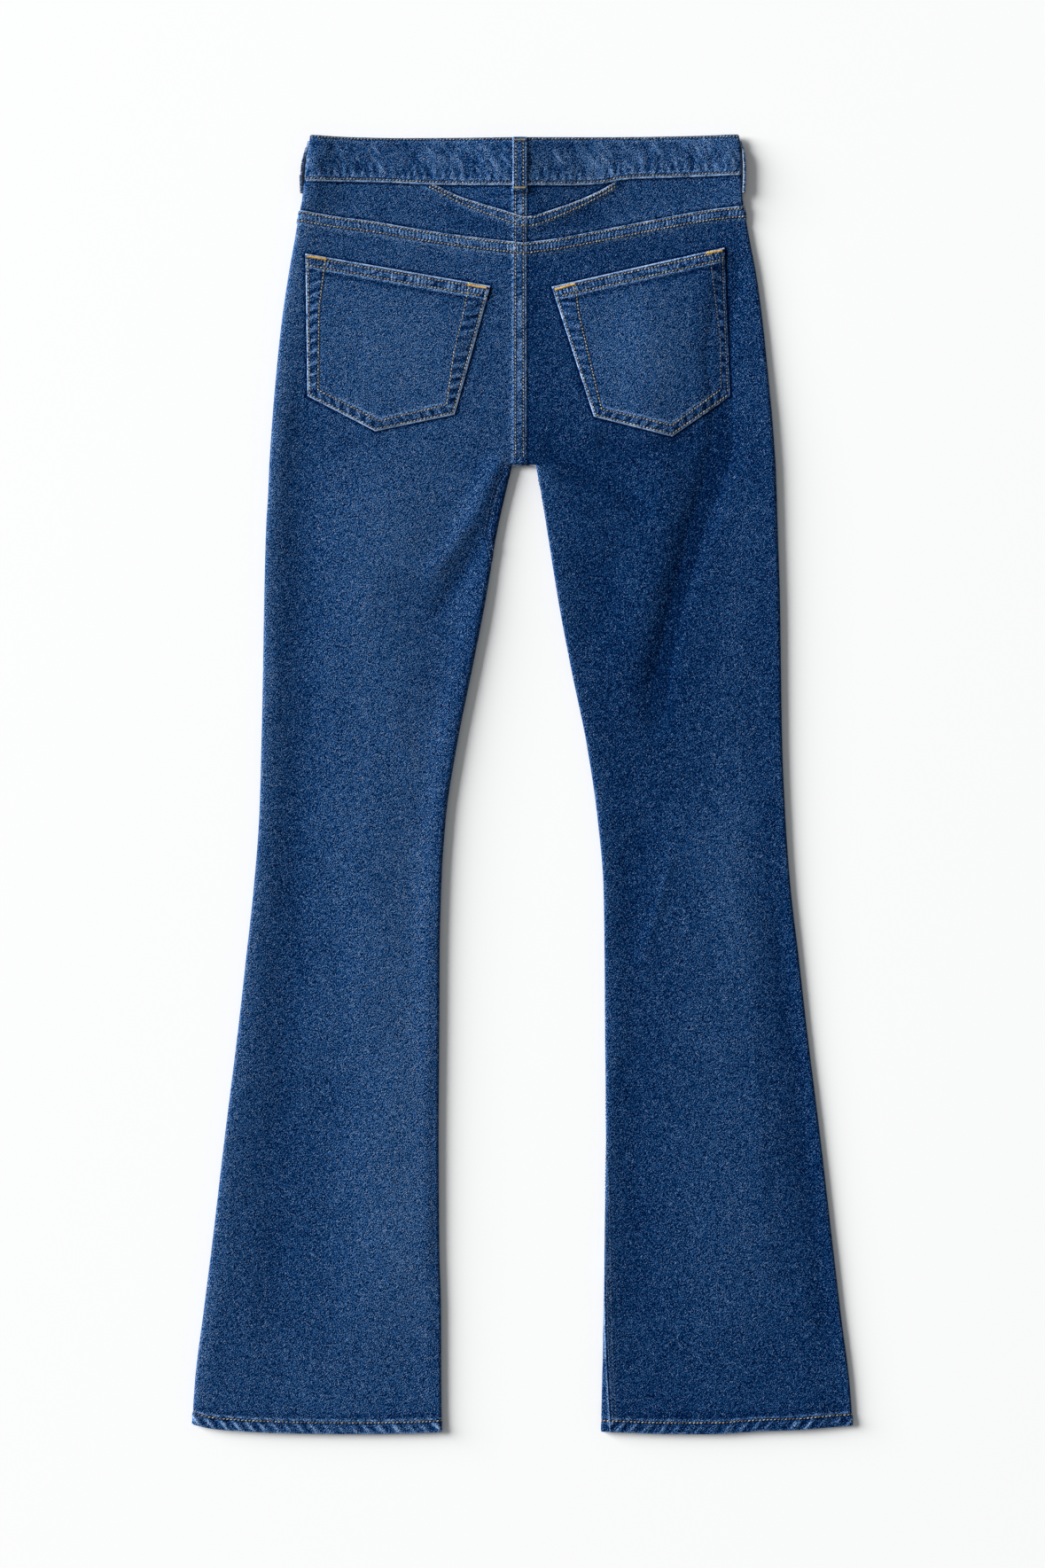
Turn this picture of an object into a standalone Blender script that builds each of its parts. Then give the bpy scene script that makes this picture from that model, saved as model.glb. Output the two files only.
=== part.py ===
# Women's flared jeans lying flat on a surface, front side down, back side up.
#
# The waist points to +Y, the hems to -Y, +Z is up off the surface and +X is the wearer's right side.
# The origin is the centre of the bounding box, at the surface the jeans lie on.
# Each piece that is cut and sewn is one closed solid: its outer face is laid out row by row across the
# garment, and the cloth's thickness is taken inwards from that face.
#
# The cloth is a flattened tube. The back panels come round the outer folds to the outseams on the
# underside, and the front panels lie on the surface. The legs fold again along the inside, where the
# inseam runs on the underside, on the fold or just over it.

import math

import bpy
import bmesh
import numpy as np

for old in list(bpy.data.objects):
    bpy.data.objects.remove(old, do_unlink=True)

# ------------------------------------------------------------------ sizes, in millimetres
LENGTH = 1127.4        # top of the waistband to the lowest point of the hem
DENIM = 1.2            # one layer of denim
HEM_WALL = 2.4         # the hem is turned up twice
HEM_DEPTH = 10.0
BAND_WALL = 2.4        # the waistband is two layers
POCKET_WALL = 1.3
GAP = 0.3              # between two sewn pieces
FOLD_R = 3.1           # outer radius of the rolled folds at the sides of the legs
SEAM_IN = 9.0          # how far in from the fold the outseam runs, on the underside
CROTCH_Y = 841.0       # height of the crotch above the hem
FLY_BOTTOM = 926.0     # where the overlap of the fly starts
FLY_OVER = 4.0         # how far the left front laps over the centre line
FLY_UNDER = 24.0       # how far the right front runs on under it
LAYER = 1.7            # rise of a layer that lies on another one
SIDE_LIFT = 2.1        # the side seams are held up where the side belt loops lie under them
BAND_DIP = 12.0        # the waistband is this much lower at the front
LOOP_W = 12.5          # belt loop
LOOP_WALL = 1.6
BUTTON_D = 17.0
BUTTON_T = 2.0
BUTTON_LIFT = 2.2      # the waistband lies on the button's head

# ------------------------------------------------------------------ the garment's outline
# Distance of the outer fold and of the inner fold from the centre line, at heights above the hem.
LEGS = [
    # height, left outer, left inner, right outer, right inner
    (0.0, 287.2, 70.0, 287.2, 68.0),
    (45.0, 284.4, 70.5, 283.8, 69.0),
    (105.0, 277.0, 70.7, 276.2, 70.3),
    (165.0, 269.4, 72.2, 269.2, 71.2),
    (260.0, 258.2, 72.8, 258.2, 72.4),
    (350.0, 247.0, 72.2, 247.0, 71.6),
    (415.0, 239.7, 71.9, 239.6, 71.2),
    (475.0, 233.2, 70.4, 232.6, 70.2),
    (535.0, 228.6, 66.4, 228.2, 65.0),
    (600.0, 226.6, 56.4, 225.4, 55.4),
    (660.0, 225.3, 44.4, 224.4, 43.0),
    (720.0, 224.3, 32.6, 223.6, 31.6),
    (785.0, 222.6, 21.6, 221.6, 21.2),
    (815.0, 220.9, 15.0, 220.7, 16.4),
    (832.0, 220.1, 10.8, 220.1, 13.2),
    (841.0, 219.8, 8.9, 219.8, 11.9),
]
SEAT = [
    # height, left outer, right outer
    (841.0, 219.8, 219.8),
    (885.0, 216.8, 216.5),
    (915.0, 214.2, 213.6),
    (960.0, 209.6, 209.1),
    (1005.0, 203.2, 203.1),
    (1035.0, 197.9, 197.4),
    (1060.0, 193.6, 192.9),
    (1072.0, 191.0, 191.0),
    (1090.0, 189.8, 190.0),
]
# The lower edge of the hem, and the seam under the yoke, across each side.
HEM_LEFT = [(70.0, 1.8), (92.0, 0.8), (146.0, 0.0), (207.0, 0.8), (247.0, 2.7), (269.0, 4.6), (287.0, 8.5)]
HEM_RIGHT = [(68.0, 2.1), (131.0, 0.0), (164.0, 0.0), (202.0, 2.3), (243.0, 3.9), (261.0, 5.4), (287.5, 7.3)]
YOKE_LEFT = [(0.0, 1033.6), (38.0, 1038.0), (69.0, 1042.2), (100.0, 1047.2), (130.0, 1052.4), (161.0, 1056.4), (193.0, 1061.8)]
YOKE_RIGHT = [(0.0, 1033.6), (24.0, 1036.4), (54.0, 1041.8), (85.0, 1048.0), (131.0, 1057.0), (162.0, 1062.4), (193.0, 1065.8)]
# The shaped insert below the waistband: the height of its lower edge.
INSERT_LEFT = [(0.0, 1054.0), (8.0, 1058.0), (23.0, 1061.0), (38.0, 1066.0), (54.0, 1071.5), (69.0, 1079.0), (79.0, 1084.4)]
INSERT_RIGHT = [(0.0, 1054.0), (8.0, 1056.5), (23.0, 1060.5), (39.0, 1066.5), (54.0, 1072.0), (70.0, 1080.0), (83.0, 1088.0)]
BAND_BOTTOM = [(-190.0, 1086.4), (-184.0, 1087.4), (-146.0, 1087.2), (-107.0, 1086.1), (-84.0, 1084.9), (-54.0, 1084.2), (0.0, 1083.6),
               (39.0, 1083.8), (70.0, 1085.5), (85.0, 1088.6), (100.0, 1089.9), (131.0, 1090.8), (162.0, 1091.9), (190.0, 1093.0)]
BAND_TOP = [(-190.0, 1127.0), (-146.0, 1125.0), (-107.0, 1124.2), (0.0, 1124.2), (39.0, 1124.6), (85.0, 1125.0), (131.0, 1125.7), (162.0, 1126.5), (190.0, 1127.4)]
# Half length of the flat waistband, from the centre to its side folds.
BAND_SIDES = [
    # height, left, right
    (1086.0, 189.0, 189.6),
    (1099.0, 188.3, 189.8),
    (1110.0, 186.7, 189.6),
    (1119.0, 185.2, 188.9),
    (1128.0, 184.2, 187.4),
]
# Where the inseam runs: along the section's outer face from the edge of the inner fold,
# positive on the upper side, negative on the underside.
INSEAM = [
    # height, left leg, right leg
    (0.0, -9.0, 10.3),
    (43.0, -9.0, 6.6),
    (105.0, -9.0, 2.8),
    (190.0, -9.0, 0.0),
    (260.0, -9.0, -4.0),
    (340.0, -9.0, -9.0),
    (730.0, -9.0, -9.0),
    (765.0, 0.0, -9.0),
    (785.0, 7.4, -8.0),
    (805.0, 7.4, -6.0),
    (820.0, 7.0, -3.6),
    (832.0, 3.2, -1.2),
    (838.0, 0.0, 0.0),
]
# The largest soft folds of the upper side: a line from one point to another, how wide it is
# to each side, and how far it stands up (or sinks, below zero).
FOLDS = [
    # x1, y1, x2, y2, half width, height
    (-132.0, 880.0, -146.0, 290.0, 42.0, 1.0),     # crown down the left thigh and shin
    (-207.0, 800.0, -208.0, 520.0, 17.0, -0.7),    # trough beside the left outer fold
    (-212.0, 430.0, -238.0, 60.0, 19.0, -0.7),     # the same, down the flare
    (-40.0, 800.0, -84.0, 690.0, 20.0, -0.9),      # inside of the left thigh
    (-17.0, 834.0, -44.0, 768.0, 9.0, 1.6),        # roll beside the left inseam
    (168.0, 880.0, 118.0, 670.0, 17.0, -1.4),      # trough across the right thigh
    (196.0, 800.0, 168.0, 640.0, 24.0, 1.1),       # ridge outside it
    (22.0, 842.0, 92.0, 832.0, 18.0, -0.9),        # drag line from the crotch
    (132.0, 520.0, 100.0, 400.0, 14.0, 0.7),       # inside of the right knee
    (150.0, 330.0, 172.0, 90.0, 40.0, 0.9),        # crown of the right flare
]


def curve(table, column):
    """Smooth height-to-size function through one column of a table (monotone cubic)."""
    xs = np.array([row[0] for row in table], float)
    ys = np.array([row[column] for row in table], float)
    step = np.diff(xs)
    slope = np.diff(ys) / step
    tangent = np.zeros(len(xs))
    tangent[0], tangent[-1] = slope[0], slope[-1]
    for i in range(1, len(xs) - 1):
        if slope[i - 1] * slope[i] > 0:
            w1, w2 = 2 * step[i] + step[i - 1], step[i] + 2 * step[i - 1]
            tangent[i] = (w1 + w2) / (w1 / slope[i - 1] + w2 / slope[i])

    def value(x):
        x = np.clip(np.asarray(x, float), xs[0], xs[-1])
        i = np.clip(np.searchsorted(xs, x, side="right") - 1, 0, len(xs) - 2)
        t = (x - xs[i]) / step[i]
        return ((2 * t**3 - 3 * t**2 + 1) * ys[i] + (t**3 - 2 * t**2 + t) * step[i] * tangent[i]
                + (3 * t**2 - 2 * t**3) * ys[i + 1] + (t**3 - t**2) * step[i] * tangent[i + 1])

    return value


def ease(a, b, x):
    t = np.clip((np.asarray(x, float) - a) / (b - a), 0.0, 1.0)
    return t * t * (3 - 2 * t)


LEFT, RIGHT = -1, 1
leg_outer = {LEFT: curve(LEGS, 1), RIGHT: curve(LEGS, 3)}
leg_inner = {LEFT: curve(LEGS, 2), RIGHT: curve(LEGS, 4)}
seat_outer = {LEFT: curve(SEAT, 1), RIGHT: curve(SEAT, 2)}
hem_edge = {LEFT: curve(HEM_LEFT, 1), RIGHT: curve(HEM_RIGHT, 1)}
yoke_edge = {LEFT: curve(YOKE_LEFT, 1), RIGHT: curve(YOKE_RIGHT, 1)}
insert_edge = {LEFT: curve(INSERT_LEFT, 1), RIGHT: curve(INSERT_RIGHT, 1)}
inseam = {LEFT: curve(INSEAM, 1), RIGHT: curve(INSEAM, 2)}
band_bottom, band_top = curve(BAND_BOTTOM, 1), curve(BAND_TOP, 1)
band_side = {LEFT: curve(BAND_SIDES, 1), RIGHT: curve(BAND_SIDES, 2)}


def outer(side, y):
    """Distance of the outer fold from the centre line."""
    return np.where(np.asarray(y) < CROTCH_Y, leg_outer[side](y), seat_outer[side](y))


def relief(x, y):
    """Soft folds of the upper side."""
    z = np.zeros(np.broadcast(x, y).shape)
    for x1, y1, x2, y2, half, height in FOLDS:
        dx, dy = x2 - x1, y2 - y1
        run = math.hypot(dx, dy)
        t = ((x - x1) * dx + (y - y1) * dy) / run**2
        off = ((x - x1) * dy - (y - y1) * dx) / run
        along = np.exp(-(np.clip(np.abs(t - 0.5) - 0.32, 0, None) / 0.16) ** 2)
        z = z + height * along * np.exp(-(off / half) ** 2)
    return z


def lift(side, X, y):
    """The side seams are held up where the side belt loops lie under them."""
    edge = outer(side, y) - X
    return SIDE_LIFT * ease(1056, 1070, y) * (1 - ease(11, 26, edge))


def top_height(side, X, y):
    """Height of the upper side's outer face."""
    y = np.asarray(y, float)
    middle = 3.3 + 2.1 * (1 - ease(12, 70, y)) + 1.1 * ease(840, 900, y)
    from_outer = np.clip(outer(side, y) - FOLD_R - X, 0, None)
    from_inner = np.clip(X - leg_inner[side](np.minimum(y, CROTCH_Y)) - FOLD_R, 0, None)
    edge_out = (2 * FOLD_R + SIDE_LIFT * ease(1056, 1070, y) - middle) * np.exp(-(from_outer / 20.0) ** 2)
    edge_in = (2 * FOLD_R - middle) * np.exp(-(from_inner / 20.0) ** 2) * (1 - ease(836, 850, y))
    # the layers of the fly and the button under the top of the centre back seam
    fly = 5.0 * np.exp(-(X / 48.0) ** 2) * ease(1012, 1072, y)
    edges = np.exp(-(from_outer / 9.0) ** 2)
    inner_edge = np.exp(-(from_inner / 9.0) ** 2) * (1 - ease(836, 850, y))
    calm = (1 - edges) * (1 - inner_edge) * (1 - ease(1000, 1040, y)) * ease(4, 40, y)
    return np.maximum(middle + edge_out + edge_in + fly + calm * relief(side * X, y), 2.9 + 0 * X)


QUARTER = math.pi * FOLD_R / 2


def leg_section(side, p, y):
    """A point of the leg's outer face. p runs 0-1 along the lip on the underside, 1-2 round the outer
    fold, 2-3 over the top, 3-4 round the inner fold and 4-5 back along the underside."""
    p, y = np.broadcast_arrays(np.asarray(p, float), np.asarray(y, float))
    xo, xi = outer(side, y), leg_inner[side](y)
    base = lift(side, xo, y)
    X, z = np.zeros(p.shape), np.zeros(p.shape)
    m = p < 1
    X[m], z[m] = (xo - SEAM_IN + (SEAM_IN - FOLD_R) * p)[m], base[m]
    m = (p >= 1) & (p < 2)
    a = (-0.5 + (p - 1)) * math.pi
    X[m], z[m] = (xo - FOLD_R + FOLD_R * np.cos(a))[m], (base + FOLD_R + FOLD_R * np.sin(a))[m]
    m = (p >= 2) & (p <= 3)
    x_top = xo - FOLD_R + (xi + FOLD_R - xo + FOLD_R) * (p - 2)
    X[m], z[m] = x_top[m], top_height(side, x_top, y)[m]
    m = (p > 3) & (p <= 4)
    a = (0.5 + (p - 3)) * math.pi
    X[m], z[m] = (xi + FOLD_R + FOLD_R * np.cos(a))[m], (FOLD_R + FOLD_R * np.sin(a))[m]
    m = p > 4
    x_under = xi + FOLD_R + (xo - SEAM_IN - GAP - xi - FOLD_R) * (p - 4)
    X[m], z[m] = x_under[m], lift(side, x_under, y)[m]
    return X, z


def inseam_p(side, y):
    """Where along the section the inseam is."""
    t = float(inseam[side](y))
    top = float(outer(side, y) - leg_inner[side](y)) - 2 * FOLD_R
    under = float(outer(side, y) - SEAM_IN - GAP - leg_inner[side](y)) - FOLD_R
    if t > QUARTER:
        return 3 - (t - QUARTER) / top
    if t < -QUARTER:
        return 4 + (-t - QUARTER) / under
    return 3.5 - t / (2 * QUARTER)


def seat_section(side, p, y, closing=0.0):
    """The same for the seat's back: p 0-1 lip, 1-2 outer fold, 2-3 top, as far as the centre back seam.
    closing is 1 at the crotch's edge, where the cloth rolls down between the legs."""
    p, y = np.broadcast_arrays(np.asarray(p, float), np.asarray(y, float))
    xo, xi = outer(side, y), float(leg_inner[side](CROTCH_Y))
    base = lift(side, xo, y)
    X, z = np.zeros(p.shape), np.zeros(p.shape)
    m = p < 1
    X[m], z[m] = (xo - SEAM_IN + (SEAM_IN - FOLD_R) * p)[m], base[m]
    m = (p >= 1) & (p < 2)
    a = (-0.5 + (p - 1)) * math.pi
    X[m], z[m] = (xo - FOLD_R + FOLD_R * np.cos(a))[m], (base + FOLD_R + FOLD_R * np.sin(a))[m]
    m = p >= 2
    x_top = xo - FOLD_R + (GAP / 2 - xo + FOLD_R) * (p - 2)
    u = np.clip((xi + FOLD_R - x_top) / FOLD_R, 0, 1)
    full = top_height(side, x_top, y)
    low = FOLD_R + (full - FOLD_R) * np.sqrt(1 - u**2)
    X[m], z[m] = x_top[m], (full + (low - full) * closing)[m]
    return X, z


# Columns of the front panels and of the waistband under them, out from the centre line.
FRONT_STATIONS = [14.0, 40.0, 68.0, 100.0, 134.0, 166.0]


def front_row(side, y, closing=0.0):
    """One row of a front panel above the crotch, from the centre front to the outseam. y is its
    height at the outseam; the rows near the top follow the waistband's dip."""
    xi = float(leg_inner[side](CROTCH_Y))
    fly = float(ease(FLY_BOTTOM, FLY_BOTTOM + 8, y))
    start = GAP / 2 - fly * (FLY_OVER if side == LEFT else FLY_UNDER)
    end = float(outer(side, y)) - SEAM_IN - GAP
    X = np.array([start, start + 7.0] + FRONT_STATIONS + [end - 5.0, end])
    edge = band_front_edge(side, X)
    drop = edge - float(band_front_edge(side, np.array(end)))
    y_here = y + drop * float(ease(960, 1080, y))
    z = lift(side, X, y_here)
    if side == RIGHT:
        z = z + LAYER * float(ease(FLY_BOTTOM - 8, FLY_BOTTOM, y)) * (1 - ease(13, 30, X))
    u = np.clip((xi + FOLD_R - X) / FOLD_R, 0, 1)
    z = z + closing * (FOLD_R - GAP) * (1 - np.sqrt(1 - u**2))
    n = np.stack([0 * X, -closing * u, -np.sqrt(1 - (closing * u) ** 2)], axis=1)
    return np.stack([side * X, y_here, z], axis=1), n


def band_front_edge(side, X):
    """Lower edge of the waistband at the front, where it dips."""
    x = side * X
    return band_bottom(x) - BAND_DIP * (1 - ease(20, 175, np.abs(x)))


def stretched(side, X, y):
    """The real height of a row: the lowest rows follow the hem, the highest the seam under the yoke."""
    hem = hem_edge[side](X) * (1 - ease(0, 90, y))
    high = 960.0 + (y - 960.0) * (yoke_edge[side](X) - GAP / 2 - 960.0) / 100.0
    return np.where(y > 960.0, high, y + hem)


def spread(run, ends, middle):
    """Distances that keep the columns close together at both ends, and even between them."""
    first, last = ends[-1], run - ends[-1]
    inner = [first + (last - first) * (k + 1) / (middle + 1) for k in range(middle)]
    return list(ends) + inner + [run - e for e in reversed(ends)]


def cross_row(side, section, p, y, ends, middle, skip=0.0, closing=0.0):
    """One row across a panel, and the outward directions there. p traces the dense outline of the
    cross-section, and the columns are set out along it by length."""
    more = {"closing": closing} if section is seat_section else {}
    y_here = np.full(p.shape, float(y))
    for _ in range(3):
        X, z = section(side, p, y_here, **more)
        y_here = stretched(side, X, float(y))
    X, z = section(side, p, y_here, **more)
    dense = np.stack([side * X, y_here, z], axis=1)
    run = np.concatenate([[0], np.cumsum(np.linalg.norm(np.diff(dense, axis=0), axis=1))])
    at = skip + np.array(spread(run[-1] - skip, ends, middle))
    points = np.stack([np.interp(at, run, dense[:, k]) for k in range(3)], axis=1)
    ahead = np.stack([np.interp(at + 0.25, run, dense[:, k]) for k in (0, 2)], axis=1)
    behind = np.stack([np.interp(at - 0.25, run, dense[:, k]) for k in (0, 2)], axis=1)
    t = ahead - behind
    t /= np.linalg.norm(t, axis=1, keepdims=True)
    # the path runs under, out, over and back in, so the outside is on its left or right by side
    n = np.stack([-side * -t[:, 1], 0 * at, -side * t[:, 0]], axis=1)
    xi = float(leg_inner[side](CROTCH_Y))
    w = closing * np.clip((xi + FOLD_R - np.abs(points[:, 0])) / FOLD_R, 0, 1)[:, None]
    n = n * np.sqrt(1 - w**2) + np.array([0.0, -1.0, 0.0]) * w
    return points, n / np.linalg.norm(n, axis=1, keepdims=True)


MATERIALS = {
    # name: colour, roughness, metallic
    "denim_back": ((0.040, 0.098, 0.235, 1), 0.85, 0.0),
    "denim_front": ((0.034, 0.086, 0.215, 1), 0.85, 0.0),
    "denim_yoke": ((0.038, 0.094, 0.225, 1), 0.85, 0.0),
    "denim_pocket": ((0.048, 0.108, 0.245, 1), 0.85, 0.0),
    "denim_band": ((0.050, 0.112, 0.240, 1), 0.85, 0.0),
    "denim_loop": ((0.060, 0.125, 0.250, 1), 0.85, 0.0),
    "button_metal": ((0.62, 0.42, 0.20, 1), 0.35, 1.0),
}


def material(name):
    """A material of this object's own, from the table."""
    colour, rough, metal = MATERIALS[name]
    mat = bpy.data.materials.new(name)
    mat.use_nodes = True
    shader = mat.node_tree.nodes["Principled BSDF"]
    shader.inputs["Base Color"].default_value = colour
    shader.inputs["Roughness"].default_value = rough
    shader.inputs["Metallic"].default_value = metal
    mat.diffuse_color = colour
    return mat


def add_object(name, verts, faces, mat):
    """A closed mesh in metres, centred on the garment's box, with its faces pointing out."""
    mesh = bpy.data.meshes.new(name)
    centred = [(x * 0.001, (y - LENGTH / 2) * 0.001, z * 0.001) for x, y, z in verts]
    mesh.from_pydata(centred, [], faces)
    bm = bmesh.new()
    bm.from_mesh(mesh)
    bmesh.ops.triangulate(bm, faces=[f for f in bm.faces if len(f.verts) > 4])
    if bm.calc_volume(signed=True) < 0:
        bmesh.ops.reverse_faces(bm, faces=bm.faces)
    bm.to_mesh(mesh)
    bm.free()
    mesh.shade_smooth()
    mesh.set_sharp_from_angle(angle=math.radians(40))
    ob = bpy.data.objects.new(name, mesh)
    bpy.context.scene.collection.objects.link(ob)
    mesh.materials.append(material(mat))
    return ob


def shell(name, grid, wall, mat, normals):
    """A wall of cloth: grid is its outer face, rows by columns, wall its thickness, and normals the
    directions out of it."""
    rows, cols = grid.shape[:2]
    n = normals
    wall = np.broadcast_to(np.asarray(wall, float), (rows, cols))
    inner = grid - n * wall[..., None]
    verts = np.concatenate([grid.reshape(-1, 3), inner.reshape(-1, 3)])
    off = rows * cols
    at = lambda r, c: r * cols + c
    faces = []
    for r in range(rows - 1):
        for c in range(cols - 1):
            a, b, d, e = at(r, c), at(r, c + 1), at(r + 1, c + 1), at(r + 1, c)
            faces.append((a, b, d, e))
            faces.append((off + e, off + d, off + b, off + a))
    for c in range(cols - 1):
        a, b = at(0, c), at(0, c + 1)
        faces.append((a, off + a, off + b, b))
        a, b = at(rows - 1, c), at(rows - 1, c + 1)
        faces.append((b, off + b, off + a, a))
    for r in range(rows - 1):
        a, b = at(r, 0), at(r + 1, 0)
        faces.append((b, off + b, off + a, a))
        a, b = at(r, cols - 1), at(r + 1, cols - 1)
        faces.append((a, off + a, off + b, b))
    return add_object(name, verts.tolist(), faces, mat)


# ------------------------------------------------------------------ the legs
LEG_ROWS = [0.0, 10.0, 11.5, 34.0, 70.0, 115.0, 165.0, 220.0, 280.0, 340.0, 400.0, 455.0, 510.0, 570.0, 630.0,
            690.0, 735.0, 765.0, 785.0, 805.0, 820.0, 832.0, 838.0]
CROTCH_ROWS = [(CROTCH_Y, 1.0), (CROTCH_Y + 1.0, 0.55), (CROTCH_Y + FOLD_R, 0.0)]
SEAT_ROWS = [862.0, 890.0, 918.0, 926.0, 934.0, 960.0, 990.0, 1025.0, 1060.0]
YOKE_ROWS = [0.0, 0.33, 0.66, 1.0]
BACK_ENDS = [0.0, 4.2, 7.6, 11.0, 16.0, 32.0]
FRONT_ENDS = [0.0, 4.2, 7.6, 14.0]


def walls(cols, heights):
    """One layer of denim, and the turned-up hem."""
    return np.array([[HEM_WALL if y <= HEM_DEPTH else DENIM] * cols for y in heights])


def back_leg(side, name):
    rows, heights = [], []
    for y in LEG_ROWS:
        p = np.linspace(0, 1, 500) * inseam_p(side, y)
        rows.append(cross_row(side, leg_section, p, y, BACK_ENDS, 3))
        heights.append(y)
    for y, closing in CROTCH_ROWS + [(y, 0.0) for y in SEAT_ROWS]:
        rows.append(cross_row(side, seat_section, np.linspace(0, 3, 500), y, BACK_ENDS, 3, closing=closing))
        heights.append(y)
    grid, normals = np.array([r[0] for r in rows]), np.array([r[1] for r in rows])
    return shell(name, grid, walls(grid.shape[1], heights), "denim_back", normals)


def outseam_heights(side):
    """Heights, at the outseam, of the back's and the yoke's rows above the crotch."""
    found = []
    for y in SEAT_ROWS:
        X = float(outer(side, y)) - SEAM_IN
        found.append(float(stretched(side, np.array(X), y)))
    X = np.array(float(outer(side, 1062.0)) - SEAM_IN)
    for v in YOKE_ROWS:
        low, high = float(yoke_edge[side](X)) + GAP / 2, float(band_bottom(side * X)) - GAP - 0.1
        found.append(low + (high - low) * v)
    return found


def front_leg(side, name):
    rows, heights = [], []
    for y in LEG_ROWS:
        p0 = inseam_p(side, y)
        p = p0 + (5 - p0) * np.linspace(0, 1, 700)
        skip = GAP + 0.25 * float(ease(770, 800, y))
        rows.append(cross_row(side, leg_section, p, y, FRONT_ENDS, 2, skip=skip))
        heights.append(y)
    for y, closing in CROTCH_ROWS + [(y, 0.0) for y in outseam_heights(side)]:
        rows.append(front_row(side, y, closing))
        heights.append(y)
    grid, normals = np.array([r[0] for r in rows]), np.array([r[1] for r in rows])
    return shell(name, grid, walls(grid.shape[1], heights), "denim_front", normals)


back_leg(LEFT, "back_leg_left")
back_leg(RIGHT, "back_leg_right")
front_leg(LEFT, "front_leg_left")
front_leg(RIGHT, "front_leg_right")


# ------------------------------------------------------------------ yokes and the shaped insert
INSERT_REACH = {LEFT: INSERT_LEFT[-1][0], RIGHT: INSERT_RIGHT[-1][0]}
INSERT_COLUMNS = 9


def insert_stations(side):
    """Columns of the insert, from its tip to the centre back; the yoke under it has the same ones."""
    reach = INSERT_REACH[side] - 4.0
    return [reach + (GAP / 2 - reach) * k / (INSERT_COLUMNS - 1) for k in range(INSERT_COLUMNS)]


def yoke_top(side, X):
    """Upper edge of the yoke: the insert's lower edge near the centre, the waistband beyond it."""
    band = band_bottom(side * X) - GAP
    return np.where(X < INSERT_REACH[side], np.minimum(insert_edge[side](X) - GAP / 2, band), band)


def yoke(side, name):
    grid, normals = [], []
    for v in YOKE_ROWS:
        row, nrow = [], []
        columns = [("p", 0.0), ("p", 0.75), ("p", 1.25), ("p", 1.5), ("p", 1.75), ("p", 2.0)]
        columns += [("x", x) for x in [172.0, 150.0, 118.0, INSERT_REACH[side]] + insert_stations(side)]
        for kind, value in columns:
            y = 1070.0
            for _ in range(4):
                edge = float(outer(side, y))
                p = value if kind == "p" else 2 + (edge - FOLD_R - value) / (edge - FOLD_R - GAP / 2)
                X, z = seat_section(side, np.array([p]), np.array([y]))
                low, high = float(yoke_edge[side](X[0])) + GAP / 2, float(yoke_top(side, X[0]))
                y = low + (high - low) * v
            row.append((side * X[0], y, z[0]))
            a = math.radians(-90 + 180 * min(max(p - 1, 0), 1))
            nrow.append((side * math.cos(a), 0.0, math.sin(a)))
        grid.append(row)
        normals.append(nrow)
    return shell(name, np.array(grid), DENIM, "denim_yoke", np.array(normals))


def insert(side, name):
    grid = []
    for v in (0.0, 0.5, 1.0):
        X = np.array(insert_stations(side))
        low, high = insert_edge[side](X) + GAP / 2, band_bottom(side * X) - GAP
        y = low + np.maximum(high - low, 0.6) * v
        grid.append(np.stack([side * X, y, top_height(side, X, y)], axis=1))
    grid = np.array(grid)
    return shell(name, grid, DENIM, "denim_yoke", straight_up(grid))


def straight_up(grid):
    n = np.zeros(grid.shape)
    n[..., 2] = 1.0
    return n


yoke(LEFT, "back_yoke_left")
yoke(RIGHT, "back_yoke_right")
insert(LEFT, "yoke_insert_left")
insert(RIGHT, "yoke_insert_right")


# ------------------------------------------------------------------ back pockets
POCKETS = {
    # corner: x, height above the hem
    LEFT: {"top_out": (-187.2, 1024.9), "top_in": (-28.6, 996.8), "low_in": (-59.6, 885.6), "point": (-127.4, 870.9), "low_out": (-185.2, 900.9)},
    RIGHT: {"top_out": (174.2, 1029.6), "top_in": (26.8, 995.4), "low_in": (62.6, 884.8), "point": (129.0, 867.8), "low_out": (179.0, 902.0)},
}


def pocket(side, name):
    """A patch pocket: its points are the seat's, moved out, and its mouth is a turned hem."""
    c = {k: np.array(v) for k, v in POCKETS[side].items()}
    share = np.linalg.norm(c["point"] - c["low_out"]) / (np.linalg.norm(c["point"] - c["low_out"]) + np.linalg.norm(c["low_in"] - c["point"]))
    across = sorted(set([0.0, share / 3, share * 2 / 3, share, share + (1 - share) / 3, share + (1 - share) * 2 / 3, 1.0]))
    down = [0.0, 0.085, 0.095, 0.3, 0.5, 0.7, 0.86, 1.0]
    grid = []
    for v in down:
        line = []
        for u in across:
            top = c["top_out"] + (c["top_in"] - c["top_out"]) * u
            if u <= share:
                low = c["low_out"] + (c["point"] - c["low_out"]) * (u / share)
            else:
                low = c["point"] + (c["low_in"] - c["point"]) * ((u - share) / (1 - share))
            x, y = top + (low - top) * v
            thick = POCKET_WALL + (1.0 if v < 0.09 else 0.0)
            line.append((x, y, float(top_height(side, np.array(abs(x)), np.array(y))) + GAP + 0.15 + thick))
        grid.append(line)
    grid = np.array(grid)
    wall = np.array([[POCKET_WALL + (1.0 if v < 0.09 else 0.0)] * len(across) for v in down])
    return shell(name, grid, wall, "denim_pocket", straight_up(grid))


pocket(LEFT, "back_pocket_left")
pocket(RIGHT, "back_pocket_right")

# ------------------------------------------------------------------ waistband
BAND_R = 3.0


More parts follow.
